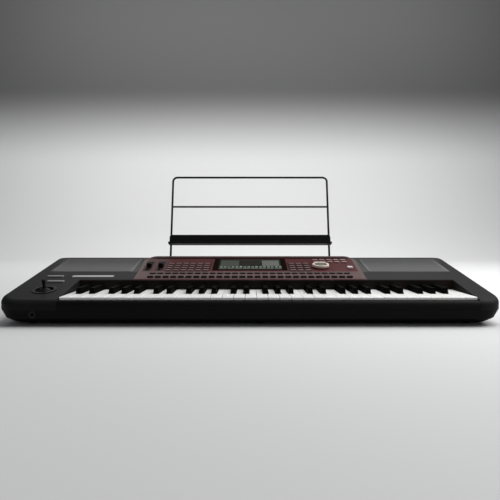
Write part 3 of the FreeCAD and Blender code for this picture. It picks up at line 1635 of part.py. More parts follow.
shelf = new_body("rest_shelf")
back = "-rest_wire"
lip_back = "-rest_wire - shelf_deep + shelf_sheet"
profile = [
    (back, "shelf_low"),
    (back, "shelf_low + shelf_tall"),
    (f"{back} - shelf_sheet", "shelf_low + shelf_tall"),
    (f"{back} - shelf_sheet", "shelf_low + shelf_sheet"),
    (lip_back, "shelf_low + shelf_sheet"),
    (lip_back, "shelf_low + shelf_lip"),
    ("-rest_wire - shelf_deep", "shelf_low + shelf_lip"),
    ("-rest_wire - shelf_deep", "shelf_low"),
]
shelf_line = outline(shelf, "shelf_profile", "YZ_Plane", profile)
pad(shelf, "shelf_sheet_metal", shelf_line, "2 * rest_half + 2 * shelf_over", middle=True)


def shelf_corner(edge):
    box = edge.BoundBox
    return max(box.XLength, box.ZLength) < 0.01 and box.ZMin > amount("shelf_low + shelf_lip") + 1


rounded(shelf, "shelf_corners", "shelf_tall / 4", shelf_corner)
put_on_rest(shelf, "0", "0", "0")
piece(shelf, "music_rest_shelf")

doc.recompute()
for thing in doc.Objects:
    faults = [word for word in thing.State if word in ("Invalid", "Error")]
    if faults:
        raise RuntimeError(f"{thing.Name} failed: {thing.State}")
os.makedirs("parts", exist_ok=True)
for thing in pieces:
    if thing.Shape.isNull() or not thing.Shape.isValid():
        raise RuntimeError(f"{thing.Label} has no valid shape")
    thing.Shape.exportStep(f"parts/{thing.Label}.step")
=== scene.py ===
"""Arranger keyboard: finishes, caps, grilles, dial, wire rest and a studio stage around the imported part."""

import json
import math

import bmesh
import bpy
import numpy as np
from bpy.props import FloatProperty, FloatVectorProperty, IntProperty, PointerProperty
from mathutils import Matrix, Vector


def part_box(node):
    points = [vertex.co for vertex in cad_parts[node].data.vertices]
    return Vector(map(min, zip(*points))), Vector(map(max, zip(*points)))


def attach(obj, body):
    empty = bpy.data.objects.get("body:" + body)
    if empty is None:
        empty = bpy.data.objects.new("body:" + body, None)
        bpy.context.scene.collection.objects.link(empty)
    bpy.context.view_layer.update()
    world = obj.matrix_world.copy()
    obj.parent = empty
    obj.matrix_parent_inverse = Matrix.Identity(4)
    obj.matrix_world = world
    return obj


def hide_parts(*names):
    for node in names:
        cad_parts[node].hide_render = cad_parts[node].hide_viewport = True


bl_info = {
    "name": "Arranger Keyboard",
    "version": (1, 0, 0),
    "blender": (4, 5, 0),
    "location": "View3D > Sidebar > Keyboard",
    "description": "Dresses the packed arranger keyboard and sets up its studio stage",
    "category": "Object",
}

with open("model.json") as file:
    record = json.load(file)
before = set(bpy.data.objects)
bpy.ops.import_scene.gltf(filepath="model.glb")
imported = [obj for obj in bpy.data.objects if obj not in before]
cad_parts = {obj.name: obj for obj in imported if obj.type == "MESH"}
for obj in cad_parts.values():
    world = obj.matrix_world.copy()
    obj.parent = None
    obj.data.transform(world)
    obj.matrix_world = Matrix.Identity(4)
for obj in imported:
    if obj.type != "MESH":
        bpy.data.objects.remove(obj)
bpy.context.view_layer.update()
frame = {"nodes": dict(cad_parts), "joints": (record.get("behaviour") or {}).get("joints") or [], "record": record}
NODES = frame["nodes"]
JOINTS = {joint["name"]: joint for joint in frame["joints"]}
BODY_OF = {node: body for body, nodes in frame["record"]["behaviour"]["bodies"].items() for node in nodes}

WHITE_KEYS = ("key_c", "key_d", "key_e", "key_f", "key_g", "key_a", "key_b", "key_top_c")
BLACK_KEYS = ("key_c_sharp", "key_d_sharp", "key_f_sharp", "key_g_sharp", "key_a_sharp")
BUTTON_ROWS = ("front_row_buttons", "rear_row_buttons")
BUTTON_FIELDS = ("style_buttons", "sound_buttons")
FADER_CAPS = ("master_volume_cap", "balance_cap")
UPPER_CASE = ("top_case", "left_end_case", "right_end_case")

# The sloping deck: outward normal, up-slope direction and the panel's front edge.
OUTWARD = -np.array(JOINTS["power_button_press"]["axis"])
UPHILL = np.array([0.0, OUTWARD[2], -OUTWARD[1]])
FALL_LOW, FALL_HIGH = np.array(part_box("fallboard"))
DECK = np.array([0.0, FALL_LOW[1], FALL_HIGH[2]])

# The speaker fields and grilles carry a painted reflection, lighter in front: where their tone begins and
# ends to fall off up the slope, and what is left of it there.
SPEAKER_REFLECTION_FADE = (0.08, 0.19)
SPEAKER_REFLECTION_REAR = 0.45

# Two points closer than this are one when a mesh is read.
SAME = 1e-5


# Points and meshes


def on_deck(across, along, above):
    """Deck to world: the panel's front edge plus steps along x, up the slope and out of the deck."""
    across, along, above = np.broadcast_arrays(across, along, above)
    points = DECK + along[..., None] * UPHILL + above[..., None] * OUTWARD
    points[..., 0] += across
    return points


def deck_of(node):
    """A node's vertices as (across, along, above) columns measured on the deck."""
    flat = np.empty(len(NODES[node].data.vertices) * 3)
    NODES[node].data.vertices.foreach_get("co", flat)
    points = flat.reshape(-1, 3) - DECK
    return points[:, 0], points @ UPHILL, points @ OUTWARD


def plate_level():
    """Level of the panel's plate above the deck, read in its front half."""
    _, along, above = deck_of("control_panel")
    return float(above[along < 0.1].max())


def runs(lows, highs):
    """Overlapping spans merged into runs: the lowest and highest value of each run."""
    order = np.argsort(lows)
    lows, reach = lows[order], np.maximum.accumulate(highs[order])
    breaks = np.flatnonzero(lows[1:] > reach[:-1] + SAME)
    return lows[np.r_[0, breaks + 1]], reach[np.r_[breaks, len(reach) - 1]]


def solids_of(node):
    """Left, right, front and back of each of a node's solids on the deck, row by row, from its triangles."""
    across, along, _ = deck_of(node)
    corners = np.empty(len(NODES[node].data.loops), np.int32)
    NODES[node].data.loops.foreach_get("vertex_index", corners)
    spots = np.stack([across, along], -1)[corners.reshape(-1, 3)]
    low, high = spots.min(1), spots.max(1)
    boxes = []
    for front, back in zip(*runs(low[:, 1], high[:, 1])):
        row = (low[:, 1] >= front) & (high[:, 1] <= back)
        for left, right in zip(*runs(low[row, 0], high[row, 0])):
            boxes.append((left, right, front, back))
    return np.array(boxes)


def shell(name, grids, turned=True):
    """Mesh from batches of point grids shaped (batch, rows, columns, 3): cells become quads, equal points are
    merged, cells that close to a pole become triangles, and faces are turned outwards if asked."""
    points, faces, start = [], [], 0
    for grid in grids:
        grid = np.asarray(grid, float)
        count, rows, columns = grid.shape[:3]
        index = start + np.arange(count * rows * columns).reshape(count, rows, columns)
        corners = (index[:, :-1, :-1], index[:, :-1, 1:], index[:, 1:, 1:], index[:, 1:, :-1])
        faces.append(np.stack(corners, -1).reshape(-1, 4))
        points.append(grid.reshape(-1, 3))
        start += count * rows * columns
    points = np.concatenate(points)
    faces = np.concatenate(faces)
    microns = np.round(points * 1e6).astype(np.int64)
    _, first, merged = np.unique(microns, axis=0, return_index=True, return_inverse=True)
    faces = merged.reshape(-1)[faces]
    doubled = faces == np.roll(faces, -1, axis=1)
    quads = faces[~doubled.any(1)]
    closing = doubled.sum(1) == 1
    thirds = faces[closing][~doubled[closing]].reshape(-1, 3)
    mesh = bpy.data.meshes.new(name)
    mesh.from_pydata(points[first].tolist(), [], quads.tolist() + thirds.tolist())
    mesh.update()
    if turned:
        outward(mesh)
    return mesh


def outward(mesh):
    """Turns every face of a mesh outwards."""
    work = bmesh.new()
    work.from_mesh(mesh)
    bmesh.ops.recalc_face_normals(work, faces=work.faces)
    work.to_mesh(mesh)
    work.free()


def placed(name, data):
    """New object in the scene."""
    thing = bpy.data.objects.new(name, data)
    bpy.context.scene.collection.objects.link(thing)
    return thing


def piece(name, mesh, body, paint, stands_for=(), smooth=30.0):
    """Object at the origin that rides on a body, with its paint; the nodes it stands for are hidden."""
    mesh.materials.append(paint)
    thing = placed(name, mesh)
    mesh.polygons.foreach_set("use_smooth", np.ones(len(mesh.polygons), bool))
    if smooth:
        mesh.set_sharp_from_angle(angle=math.radians(smooth))
    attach(thing, body)
    if stands_for:
        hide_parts(*stands_for)
    return thing


def full_turn(sides):
    """Angles once round; the last is the first again, so that both ends meet in the same points."""
    turn = np.linspace(0, 2 * np.pi, sides + 1)
    turn[-1] = 0
    return turn


def ring(sides, power):
    """Superellipse of a given power with half axes 1: sign(cos)|cos|^(2/p), sign(sin)|sin|^(2/p)."""
    turn = full_turn(sides)
    wave = np.stack([np.cos(turn), np.sin(turn)], -1)
    return np.sign(wave) * np.abs(wave) ** (2 / power)


def caps(centres, half_wide, half_deep, steps, base, sides=20, power=7.0, dish=0.0):
    """Rounded caps on the deck: superellipse rings, each step an inset and a height above the base; the last
    ring closes to the middle. The dish lowers a point by dish * (1 - (along / half_deep)^2)."""
    around = ring(sides, power)
    rows = []
    for inset, height in steps:
        wide = max(half_wide - inset, 0.0)
        deep = max(half_deep - inset, 0.0)
        along = around[:, 1] * deep
        sag = dish * (1 - (along / half_deep) ** 2) if inset > 0 else 0 * along
        rows.append(np.stack([around[:, 0] * wide, along, base + height - sag], -1))
    one = np.stack(rows)
    grid = np.broadcast_to(one, (len(centres),) + one.shape).copy()
    grid[..., 0] += centres[:, 0, None, None]
    grid[..., 1] += centres[:, 1, None, None]
    return on_deck(grid[..., 0], grid[..., 1], grid[..., 2])


def tube(path, normal, radius, sides):
    """Round tube: a circle carried along a flat path, spanned by the path's normal and its sideways
    direction, and closed by a point at each end."""
    path = np.asarray(path, float)
    tangent = np.gradient(path, axis=0)
    tangent /= np.linalg.norm(tangent, axis=1)[:, None]
    side = np.cross(tangent, normal)
    turn = full_turn(sides)
    circle = np.cos(turn)[None, :, None] * side[:, None] + np.sin(turn)[None, :, None] * np.asarray(normal)
    rings = path[:, None] + radius * circle
    start = np.broadcast_to(path[:1, None], rings[:1].shape)
    end = np.broadcast_to(path[-1:, None], rings[:1].shape)
    return np.concatenate([start, rings, end])[None]


# Paints


def operation(kind):
    """Method that adds a Math node of one kind."""

    def method(self, *others):
        return self.paint.math(kind, self, *others)

    return method


class Value:
    """An output socket that takes part in arithmetic: each operation adds a Math node."""

    def __init__(self, paint, socket):
        self.paint = paint
        self.socket = socket

    __add__ = __radd__ = operation("ADD")
    __sub__ = operation("SUBTRACT")
    __mul__ = __rmul__ = operation("MULTIPLY")
    __truediv__ = operation("DIVIDE")
    __mod__ = operation("FLOORED_MODULO")
    __gt__ = operation("GREATER_THAN")
    __lt__ = operation("LESS_THAN")
    __abs__ = operation("ABSOLUTE")
    root = operation("SQRT")
    wave = operation("SINE")
    top = operation("MAXIMUM")

    def __rsub__(self, other):
        return self.paint.math("SUBTRACT", other, self)

    def between(self, low, high):
        return (self > low) * (self < high)


class Paint:
    """A material and its nodes, read on Object coordinates."""

    def __init__(self, name):
        self.material = bpy.data.materials.new(name)
        self.material.use_nodes = True
        self.tree = self.material.node_tree
        self.shader = self.tree.nodes["Principled BSDF"]
        self.place = self.node("ShaderNodeTexCoord", out="Object")

    def node(self, kind, settings=None, inputs=None, out=0):
        """Adds one node: settings are set first, then each socket gets its value or link."""
        made = self.tree.nodes.new(kind)
        for key, setting in (settings or {}).items():
            setattr(made, key, setting)
        for key, given in (inputs or {}).items():
            self.feed(made.inputs[key], given)
        return Value(self, made.outputs[out])

    def feed(self, socket, given):
        """Links a value to a socket, or sets a plain one there."""
        if isinstance(given, Value):
            self.tree.links.new(given.socket, socket)
        else:
            socket.default_value = given

    def math(self, operation, *terms):
        """Math node on values or numbers."""
        return self.node("ShaderNodeMath", {"operation": operation}, dict(enumerate(terms)))

    def noise(self, scale, detail=2.0, rough=0.5, stretch=(1.0, 1.0, 1.0)):
        """Noise from 0 to 1, with its coordinates stretched along each axis."""
        place = self.place
        if stretch != (1.0, 1.0, 1.0):
            place = self.node("ShaderNodeMapping", None, {"Vector": place, "Scale": stretch})
        inputs = {"Vector": place, "Scale": scale, "Detail": detail, "Roughness": rough}
        return self.node("ShaderNodeTexNoise", None, inputs)

    def blend(self, factor, first, second):
        """Colour between two colours."""
        inputs = {0: factor, 6: first, 7: second}
        return self.node("ShaderNodeMix", {"data_type": "RGBA"}, inputs, 2)

    def ramp(self, value, low, high):
        """Smooth step from 0 at the low value to 1 at the high one."""
        inputs = {0: value, 1: low, 2: high}
        return self.node("ShaderNodeMapRange", {"interpolation_type": "SMOOTHSTEP"}, inputs)

    def axes(self):
        """Object coordinates as three numbers."""
        parts = self.node("ShaderNodeSeparateXYZ", None, {0: self.place}).socket.node
        return [Value(self, parts.outputs[i]) for i in range(3)]

    def deck(self):
        """Across, along and above, measured on the sloping deck."""
        x, y, z = self.axes()
        y, z = y - float(DECK[1]), z - float(DECK[2])
        along = y * float(UPHILL[1]) + z * float(UPHILL[2])
        above = y * float(OUTWARD[1]) + z * float(OUTWARD[2])
        return x, along, above

    def finish(self, tone, sheen, height=None, bump=(0.2, 0.0002), **others):
        """Feeds base colour, roughness and other inputs, and lets a height bend the normal by the bump's
        strength and distance."""
        if height is not None:
            inputs = {"Strength": bump[0], "Distance": bump[1], "Height": height}
            others["Normal"] = self.node("ShaderNodeBump", None, inputs)
        for key, given in {"Base_Color": tone, "Roughness": sheen, **others}.items():
            self.feed(self.shader.inputs[key.replace("_", " ")], given)
        return self.material


def shade(colour, factor):
    """A colour made lighter or darker by a factor, with alpha 1."""
    return tuple(min(part * factor, 1.0) for part in colour[:3]) + (1.0,)


def grained(paint, colour, grain, rough):
    """Grit, tone and roughness of moulded plastic: spark-eroded grain, slow drift of tone and sheen."""
    grit = paint.noise(grain, 3.0, 0.65)
    drift = paint.noise(7.0, 2.0)
    tone = paint.blend(drift * 0.7 + grit * 0.3, shade(colour, 0.82), shade(colour, 1.2))
    return grit, tone, grit * 0.16 + drift * 0.1 + (rough - 0.13)


def moulding(name, colour, grain=900.0, rough=0.6, depth=0.00012, gloss=0.1):
    """Moulded plastic of one colour."""
    paint = Paint(name)
    grit, tone, sheen = grained(paint, colour, grain, rough)
    return paint.finish(tone, sheen, grit, (0.35, depth), Specular_IOR_Level=gloss)


def satin(name, colour, rough=0.35, metal=0.0, brushed=(1.0, 1.0, 1.0), grain=400.0, gloss=0.2):
    """Smooth coat or metal: faint flow marks along one axis and small changes of gloss."""
    paint = Paint(name)
    flow = paint.noise(grain, 3.0, 0.6, brushed)
    drift = paint.noise(11.0, 1.0)
    tone = paint.blend(flow * 0.5 + drift * 0.5, shade(colour, 0.86), shade(colour, 1.15))
    sheen = flow * 0.12 + drift * 0.08 + (rough - 0.1)
    return paint.finish(tone, sheen, flow, (0.12, 0.00005), Metallic=metal, Specular_IOR_Level=gloss)


def soften(node, width, segments=2):
    """Rounds a node's edges: triangles welded, flat faces joined, sharp edges bevelled, slivers welded."""
    thing = NODES[node]
    weld = thing.modifiers.new("weld", "WELD")
    weld.merge_threshold = 1e-6
    flat = thing.modifiers.new("flat", "DECIMATE")
    flat.decimate_type = "DISSOLVE"
    flat.angle_limit = math.radians(1.0)
    round_off = thing.modifiers.new("round", "BEVEL")
    round_off.width = width
    round_off.segments = segments
    round_off.limit_method = "ANGLE"
    round_off.angle_limit = math.radians(35.0)
    round_off.harden_normals = False
    close = thing.modifiers.new("close", "WELD")
    close.merge_threshold = 3e-6


def dress(paint, *nodes):
    """Gives CAD nodes a paint."""
    for node in nodes:
        materials = NODES[node].data.materials
        materials.clear()
        materials.append(paint)


# Settings


def colour(name, words, default):
    """A colour that can be picked."""
    about = {"name": name, "description": words, "default": default}
    return FloatVectorProperty(**about, subtype="COLOR", size=3, min=0.0, max=1.0)


def length(name, words, default):
    """A length in metres."""
    about = {"name": name, "description": words, "default": default}
    return FloatProperty(**about, subtype="DISTANCE", unit="LENGTH", min=0.0)


def power(name, words, default):
    """A light's power in watts."""
    return FloatProperty(name=name, description=words, default=default, unit="POWER")


class CaseSettings(bpy.types.PropertyGroup):
    """Colours of the case."""

    upper: colour("Upper case", "Colour of the moulded upper case", (0.0096, 0.0096, 0.0098))
    speaker: colour("Speaker field", "Colour of the deck round the grilles", (0.048, 0.048, 0.0486))
    lower: colour("Lower case", "Colour of the moulded tray", (0.0040, 0.0040, 0.0041))
    fall: colour("Fallboard", "Colour of the strip behind the keys", (0.0130, 0.0095, 0.0083))
    plate: colour("Blank plate", "Colour of the blank plate on the left of the deck", (0.31, 0.31, 0.315))
    plate_wide: length("Plate width", "Length of the blank plate along the keys", 0.096)
    plate_deep: length("Plate depth", "Depth of the blank plate up the slope", 0.013)
    field_front: length("Field front", "Front edge of the paler field, up the slope", 0.067)
    field_back: length("Field back", "Rear edge of the paler field, up the slope", 0.189)
    field_half: length("Field reach", "Outer edge of the paler field at the panel's front", 0.4565)


class KeySettings(bpy.types.PropertyGroup):
    """Colours and edges of the keys."""

    white: colour("White keys", "Colour of the white keys", (0.95, 0.945, 0.925))
    black: colour("Black keys", "Colour of the black keys", (0.0031, 0.0031, 0.0031))
    edge: length("Edge", "Rounding of the keys' edges", 0.0008)


class PanelSettings(bpy.types.PropertyGroup):
    """Colours and sizes on the control panel."""

    film: colour("Panel", "Colour of the burgundy film", (0.0560, 0.0105, 0.0118))
    row: colour("Row band", "Colour of the printed band behind the button rows", (0.098, 0.060, 0.060))
    end: colour("Ends", "Colour of the panel's ends and rear lip", (0.092, 0.069, 0.065))
    print_tone: colour("Print", "Colour of the fine printed lines", (0.28, 0.19, 0.185))
    cap: colour("Row caps", "Colour of the caps in the two rows", (0.0125, 0.0058, 0.0060))
    field: colour("Field caps", "Colour of the caps in the fields", (0.120, 0.074, 0.065))
    mode: colour("Mode caps", "Colour of the caps behind the dial", (0.250, 0.165, 0.158))
    bright: colour("Power cap", "Colour of the power button", (0.50, 0.42, 0.41))


class GrilleSettings(bpy.types.PropertyGroup):
    """Perforation of the speaker grilles."""

    coat: colour("Grille", "Colour of the coated grille", (0.116, 0.116, 0.118))
    pitch: length("Pitch", "Distance from hole to hole", 0.0046)
    hole: length("Hole", "Radius of a hole", 0.0014)
    rim: length("Rim", "Plain border of the grille", 0.006)
    sheet: length("Sheet", "Thickness of the sheet", 0.0014)


class RestSettings(bpy.types.PropertyGroup):
    """Wire of the music rest."""

    coat: colour("Wire", "Colour of the coated wire and shelf", (0.0056, 0.0056, 0.0058))
    wire: length("Wire radius", "Radius of the bent wire", 0.00275)
    bend: length("Bend", "Radius of the two upper bends at the wire's middle", 0.012)
    sides: IntProperty(name="Sides", description="Sides of the round wire", default=24, min=8, max=64)


class DialSettings(bpy.types.PropertyGroup):
    """Value dial."""

    metal: colour("Dial", "Colour of the bright dial", (0.66, 0.57, 0.48))
    flutes: IntProperty(name="Flutes", description="Grooves round the dial's edge", default=30, min=6, max=90)


class StageSettings(bpy.types.PropertyGroup):
    """Floor, lights and camera."""

    floor: colour("Floor", "Colour of floor and backdrop", (0.60, 0.60, 0.60))
    key_power: power("Overhead", "Power of the overhead softbox", 57.0)
    fill_power: power("Fill", "Power of the front fill light", 1.2)
    rear_power: power("Rear", "Power of the rear softbox", 9.0)
    wall_power: power("Backdrop", "Power of the light on the wall", 60.0)
    eye_back: length("Camera distance", "Camera's distance in front of the origin", 1.1969)
    eye_up: length("Camera height", "Camera's height above the floor", 0.195)
    tilt: FloatProperty(
        name="Tilt",
        description="Camera's tilt below the horizon",
        default=math.radians(2.382),
        subtype="ANGLE",
    )
    lens: FloatProperty(name="Lens", description="Focal length for a 36 mm film", default=36.0, unit="CAMERA")


GROUPS = {
    "keyboard_case": CaseSettings,
    "keyboard_keys": KeySettings,
    "keyboard_panel": PanelSettings,
    "keyboard_grille": GrilleSettings,
    "keyboard_rest": RestSettings,
    "keyboard_dial": DialSettings,
    "keyboard_stage": StageSettings,
}


# Operators


class KEYBOARD_OT_case(bpy.types.Operator):
    """Finish the case, its feet, screws, fallboard and the blank plate"""

    bl_idname = "keyboard.case"
    bl_label = "Case"

    def execute(self, context):
        look = context.scene.keyboard_case
        dress(self.upper(look), *UPPER_CASE)
        dress(moulding("moulded_lower_case", look.lower, gloss=0.08), "bottom_case", "key_slip")
        dress(satin("fall_strip", look.fall, 0.42, brushed=(0.02, 1.0, 1.0), gloss=0.08), "fallboard")
        dress(moulding("foot_rubber", (0.012, 0.012, 0.012), 600.0, 0.8), "rubber_feet")
        dress(satin("plated_screws", (0.45, 0.45, 0.46), 0.35, 1.0), "case_screws")
        soften("fallboard", 0.0006)
        soften("key_slip", 0.0006)
        self.blank_plate(look)
        return {"FINISHED"}

    def upper(self, look):
        """Grained black plastic; the deck is paler round the grilles, out to a slanting edge, and a painted
        reflection makes that paler field fade darker up the slope.
        """
        paint = Paint("moulded_upper_case")
        x, along, above = paint.deck()
        grit, tone, sheen = grained(paint, look.upper, 900.0, 0.6)
        flare, level = 0.2, 0.0005
        zone = along.between(look.field_front, look.field_back) * (abs(x) < along * flare + look.field_half)
        zone = zone * (abs(above) < level)
        # Painted reflection: the paler field is lighter in front and fades darker up the slope.
        fade = paint.ramp(along, *SPEAKER_REFLECTION_FADE)
        field = paint.blend(fade, shade(look.speaker, 1.0), shade(look.speaker, SPEAKER_REFLECTION_REAR))
        tone = paint.blend(zone, tone, field)
        return paint.finish(tone, sheen, grit, (0.35, 0.00012), Specular_IOR_Level=0.08)

    def blank_plate(self, look):
        """Thin rounded bar, blank, on the deck left of the panel."""
        sunk, rise = 0.0002, 0.0009
        foot = [(1.0, -sunk), (0.0, -sunk), (0.0, rise - 0.0004)]
        steps = foot + [(0.00025, rise - 0.0001), (0.0007, rise), (1.0, rise)]
        centre = np.array([[-0.3655, 0.029]])
        grid = caps(centre, look.plate_wide / 2, look.plate_deep / 2, steps, 0.0, sides=64, power=12.0)
        mesh = shell("blank_plate", [grid])
        paint = satin("brushed_plate", look.plate, 0.45, 0.0, (0.02, 1.0, 1.0))
        piece("blank_plate", mesh, "case", paint)


class KEYBOARD_OT_keys(bpy.types.Operator):
    """Finish the white and black keys"""

    bl_idname = "keyboard.keys"
    bl_label = "Keys"

    def execute(self, context):
        look = context.scene.keyboard_keys
        dress(self.ivory(look), *WHITE_KEYS)
        dress(self.ebony(look), *BLACK_KEYS)
        for node in WHITE_KEYS + BLACK_KEYS:
            soften(node, look.edge)
        return {"FINISHED"}

    def ivory(self, look):
        """Polished white: slow drift of warmth, light traces of handling near the front edge."""
        paint = Paint("ivory_white")
        drift = paint.noise(9.0, 2.0)
        wear = paint.noise(60.0, 4.0, 0.6, (1.0, 0.3, 1.0))
        tone = paint.blend(drift, shade(look.white, 0.965), shade(look.white, 1.02))
        gloss = {"Coat_Weight": 0.12, "Coat_Roughness": 0.1, "Specular_IOR_Level": 0.3}
        return paint.finish(tone, wear * 0.12 + 0.2, wear, (0.03, 0.00004), **gloss)

    def ebony(self, look):
        """Satin black with a fine lengthwise grain."""
        paint = Paint("ebony_black")
        grain = paint.noise(500.0, 3.0, 0.6, (1.0, 0.08, 1.0))
        drift = paint.noise(14.0, 1.0)
        tone = paint.blend(grain * 0.6 + drift * 0.4, shade(look.black, 0.75), shade(look.black, 1.35))
        return paint.finish(tone, grain * 0.15 + 0.4, grain, (0.15, 0.00006), Specular_IOR_Level=0.004)


class KEYBOARD_OT_action(bpy.types.Operator):
    """Finish the chassis, rod, felt, contacts and springs under the keys"""

    bl_idname = "keyboard.action"
    bl_label = "Key action"

    def execute(self, context):
        steel = satin("zinc_plated_steel", (0.42, 0.42, 0.43), 0.38, 1.0, (0.03, 1.0, 1.0))
        dress(steel, "key_frame", "key_pivot_rod", "key_return_springs")
        dress(self.felt(), "key_stop_felt")
        dress(satin("contact_board_mask", (0.010, 0.065, 0.026), 0.35), "key_contact_board")
        dress(moulding("contact_rubber", (0.02, 0.02, 0.02), 700.0, 0.75), "key_contact_strip")
        return {"FINISHED"}

    def felt(self):
        """Pressed felt: tangled fibres in colour and height."""
        paint = Paint("pressed_felt")
        fibre = paint.noise(1400.0, 5.0, 0.7)
        tone = paint.blend(fibre, (0.09, 0.008, 0.008, 1), (0.24, 0.03, 0.03, 1))
        return paint.finish(tone, 0.95, fibre, (0.8, 0.0004))


class KEYBOARD_OT_panel(bpy.types.Operator):
    """Finish the control panel"""

    bl_idname = "keyboard.panel"
    bl_label = "Control panel"

    # Printed areas and painted shade, as spans across the panel or along it from its front edge: the row
    # band and the rules are print; the dark ground round the faders, behind the fields and below the lip is
    # painted shade.
    ROW_BAND = (-0.004, 0.0585)
    STYLE_SHADE = (-0.207, -0.097)
    SOUND_SHADE = (0.094, 0.150)
    FIELD_SHADE = (0.0595, 0.139)
    FADERS = (-0.250, -0.221)
    FADER_SHADE = (0.066, 0.154)
    FADER_SHADE_HALF = 0.0085
    LIP_SHADOW = (0.180, 0.187)
    FRONT_RULE = (0.0275, 0.0282)
    REAR_RULE = (0.0615, 0.0622)
    GREY_LEFT = (0.17, 0.25)

    # The grey ends: half the film's width in front, its growth up the slope, and the lip's painted level.
    END_LINE = 0.2555
    END_FLARE = 0.0556
    LIP_PAINT = 0.0045

    # What stands on the board below.
    FADER_HOUSING = ((-0.262, -0.208), (0.060, 0.160))
    ENCODER = ((0.160, 0.188), (0.086, 0.114))

    def execute(self, context):
        look = context.scene.keyboard_panel
        film = self.film(look)
        dress(film, "control_panel")
        self.lip_ends(film)
        dress(self.board(), "panel_board")
        soften("control_panel", 0.0003)
        return {"FINISHED"}

    def rear_corner(self):
        """The panel's rear corner and lip, from its mesh: the corner's centre, the lip's section as distances
        from that centre, the plate's level and the lip's."""
        across, along, above = deck_of("control_panel")
        plate = plate_level()
        ridge = above > plate + 0.001
        end = (abs(across - across[ridge].max()) < SAME) & (along > along[ridge].min() - 0.01)
        foot = along[end & (abs(above - plate) < SAME)]
        begin = across[along > along.max() - SAME].max()
        centre = along.max() - (across.max() - begin)
        section = np.array([foot.min(), along[ridge].min(), along[ridge].max(), foot.max()]) - centre
        return float(begin), float(centre), section, plate, above.max()

    def lip_ends(self, film):
        """Ends of the rear lip, carried round the panel's rear corners: the lip's own four-sided section,
        whose height runs out as cos(turn)^2 and whose width runs out as the square root of cos(turn)."""
        begin, centre, section, plate, level = self.rear_corner()
        section = section[[0, 1, 2, 3, 0]]
        middle = section.mean()
        share = np.linspace(0, 1, 17)[:, None]
        fade = np.cos(share * np.pi / 2)
        sunk, sweep = 0.0003, math.radians(80.0)
        reach = middle + (section - middle) * np.sqrt(fade)
        tall = plate - sunk + (level - plate + sunk) * fade ** 2 * np.array([0, 1, 1, 0, 0])
        reach = np.vstack([np.full((1, 5), middle), reach])
        tall = np.vstack([np.full((1, 5), plate), tall])
        turn = sweep * np.vstack([share[:1], share])
        aside = begin + reach * np.sin(turn)
        depth = centre + reach * np.cos(turn)
        mesh = shell("panel_lip_ends", [on_deck(side * aside, depth, tall)[None] for side in (-1, 1)])
        piece("panel_lip_ends", mesh, BODY_OF["control_panel"], film)

    def board(self):
        """Green solder mask, with the black fader housings and the grey encoder that stand on it."""
        paint = Paint("panel_board_mask")
        x, along, _ = paint.deck()
        flow = paint.noise(400.0, 3.0)
        tone = paint.blend(flow, (0.008, 0.052, 0.021, 1), (0.012, 0.075, 0.030, 1))
        for (wide, deep), shown in ((self.FADER_HOUSING, 0.006), (self.ENCODER, 0.18)):
            tone = paint.blend(x.between(*wide) * along.between(*deep), tone, (shown, shown, shown, 1))
        return paint.finish(tone, flow * 0.2 + 0.3, Specular_IOR_Level=0.2)

    def film(self, look):
        """Burgundy film: metallic fleck, grey ends, a paler band behind the rows, painted shade that darkens the
        ground round the faders, behind the button fields and below the rear lip, and fine printed rules."""
        paint = Paint("burgundy_film")
        x, along, above = paint.deck()
        fleck = paint.noise(2600.0, 2.0)
        drift = paint.noise(5.0, 2.0)
        film = paint.blend(drift * 0.6 + fleck * 0.4, shade(look.film, 0.75), shade(look.film, 1.3))
        film = paint.blend(paint.ramp(0 - x, *self.GREY_LEFT) * 0.45, film, shade(look.end, 0.7))
        tone = paint.blend(along.between(*self.ROW_BAND) * 0.9, film, shade(look.row, 1.0))
        # Painted shade: dark ground behind the button fields, round the faders and below the rear lip.
        fields = (x.between(*self.STYLE_SHADE) + x.between(*self.SOUND_SHADE)) * along.between(*self.FIELD_SHADE)
        left, right = (abs(x - middle) < self.FADER_SHADE_HALF for middle in self.FADERS)
        painted_shade_beds = left.top(right) * along.between(*self.FADER_SHADE)
        painted_shade_beds = painted_shade_beds.top(fields * 0.6).top(along.between(*self.LIP_SHADOW))
        tone = paint.blend(painted_shade_beds * 0.95, tone, shade(look.film, 0.10))
        rules = along.between(*self.REAR_RULE).top(along.between(*self.FRONT_RULE))
        tone = paint.blend(rules * 0.7, tone, shade(look.print_tone, 1.0))
        begin, centre, section, _, _ = self.rear_corner()
        aside, uphill = abs(x) - begin, along - centre
        away = aside * aside + uphill * uphill
        round_corner = (aside > 0) * (uphill > 0) * (away > float(section[0]) ** 2)
        ends = ((abs(x) - along * self.END_FLARE) > self.END_LINE).top(round_corner)
        tone = paint.blend(ends.top(above > self.LIP_PAINT), tone, shade(look.end, 1.0))
        return paint.finish(tone, fleck * 0.15 + 0.4, fleck, (0.05, 0.00003), Specular_IOR_Level=0.03)


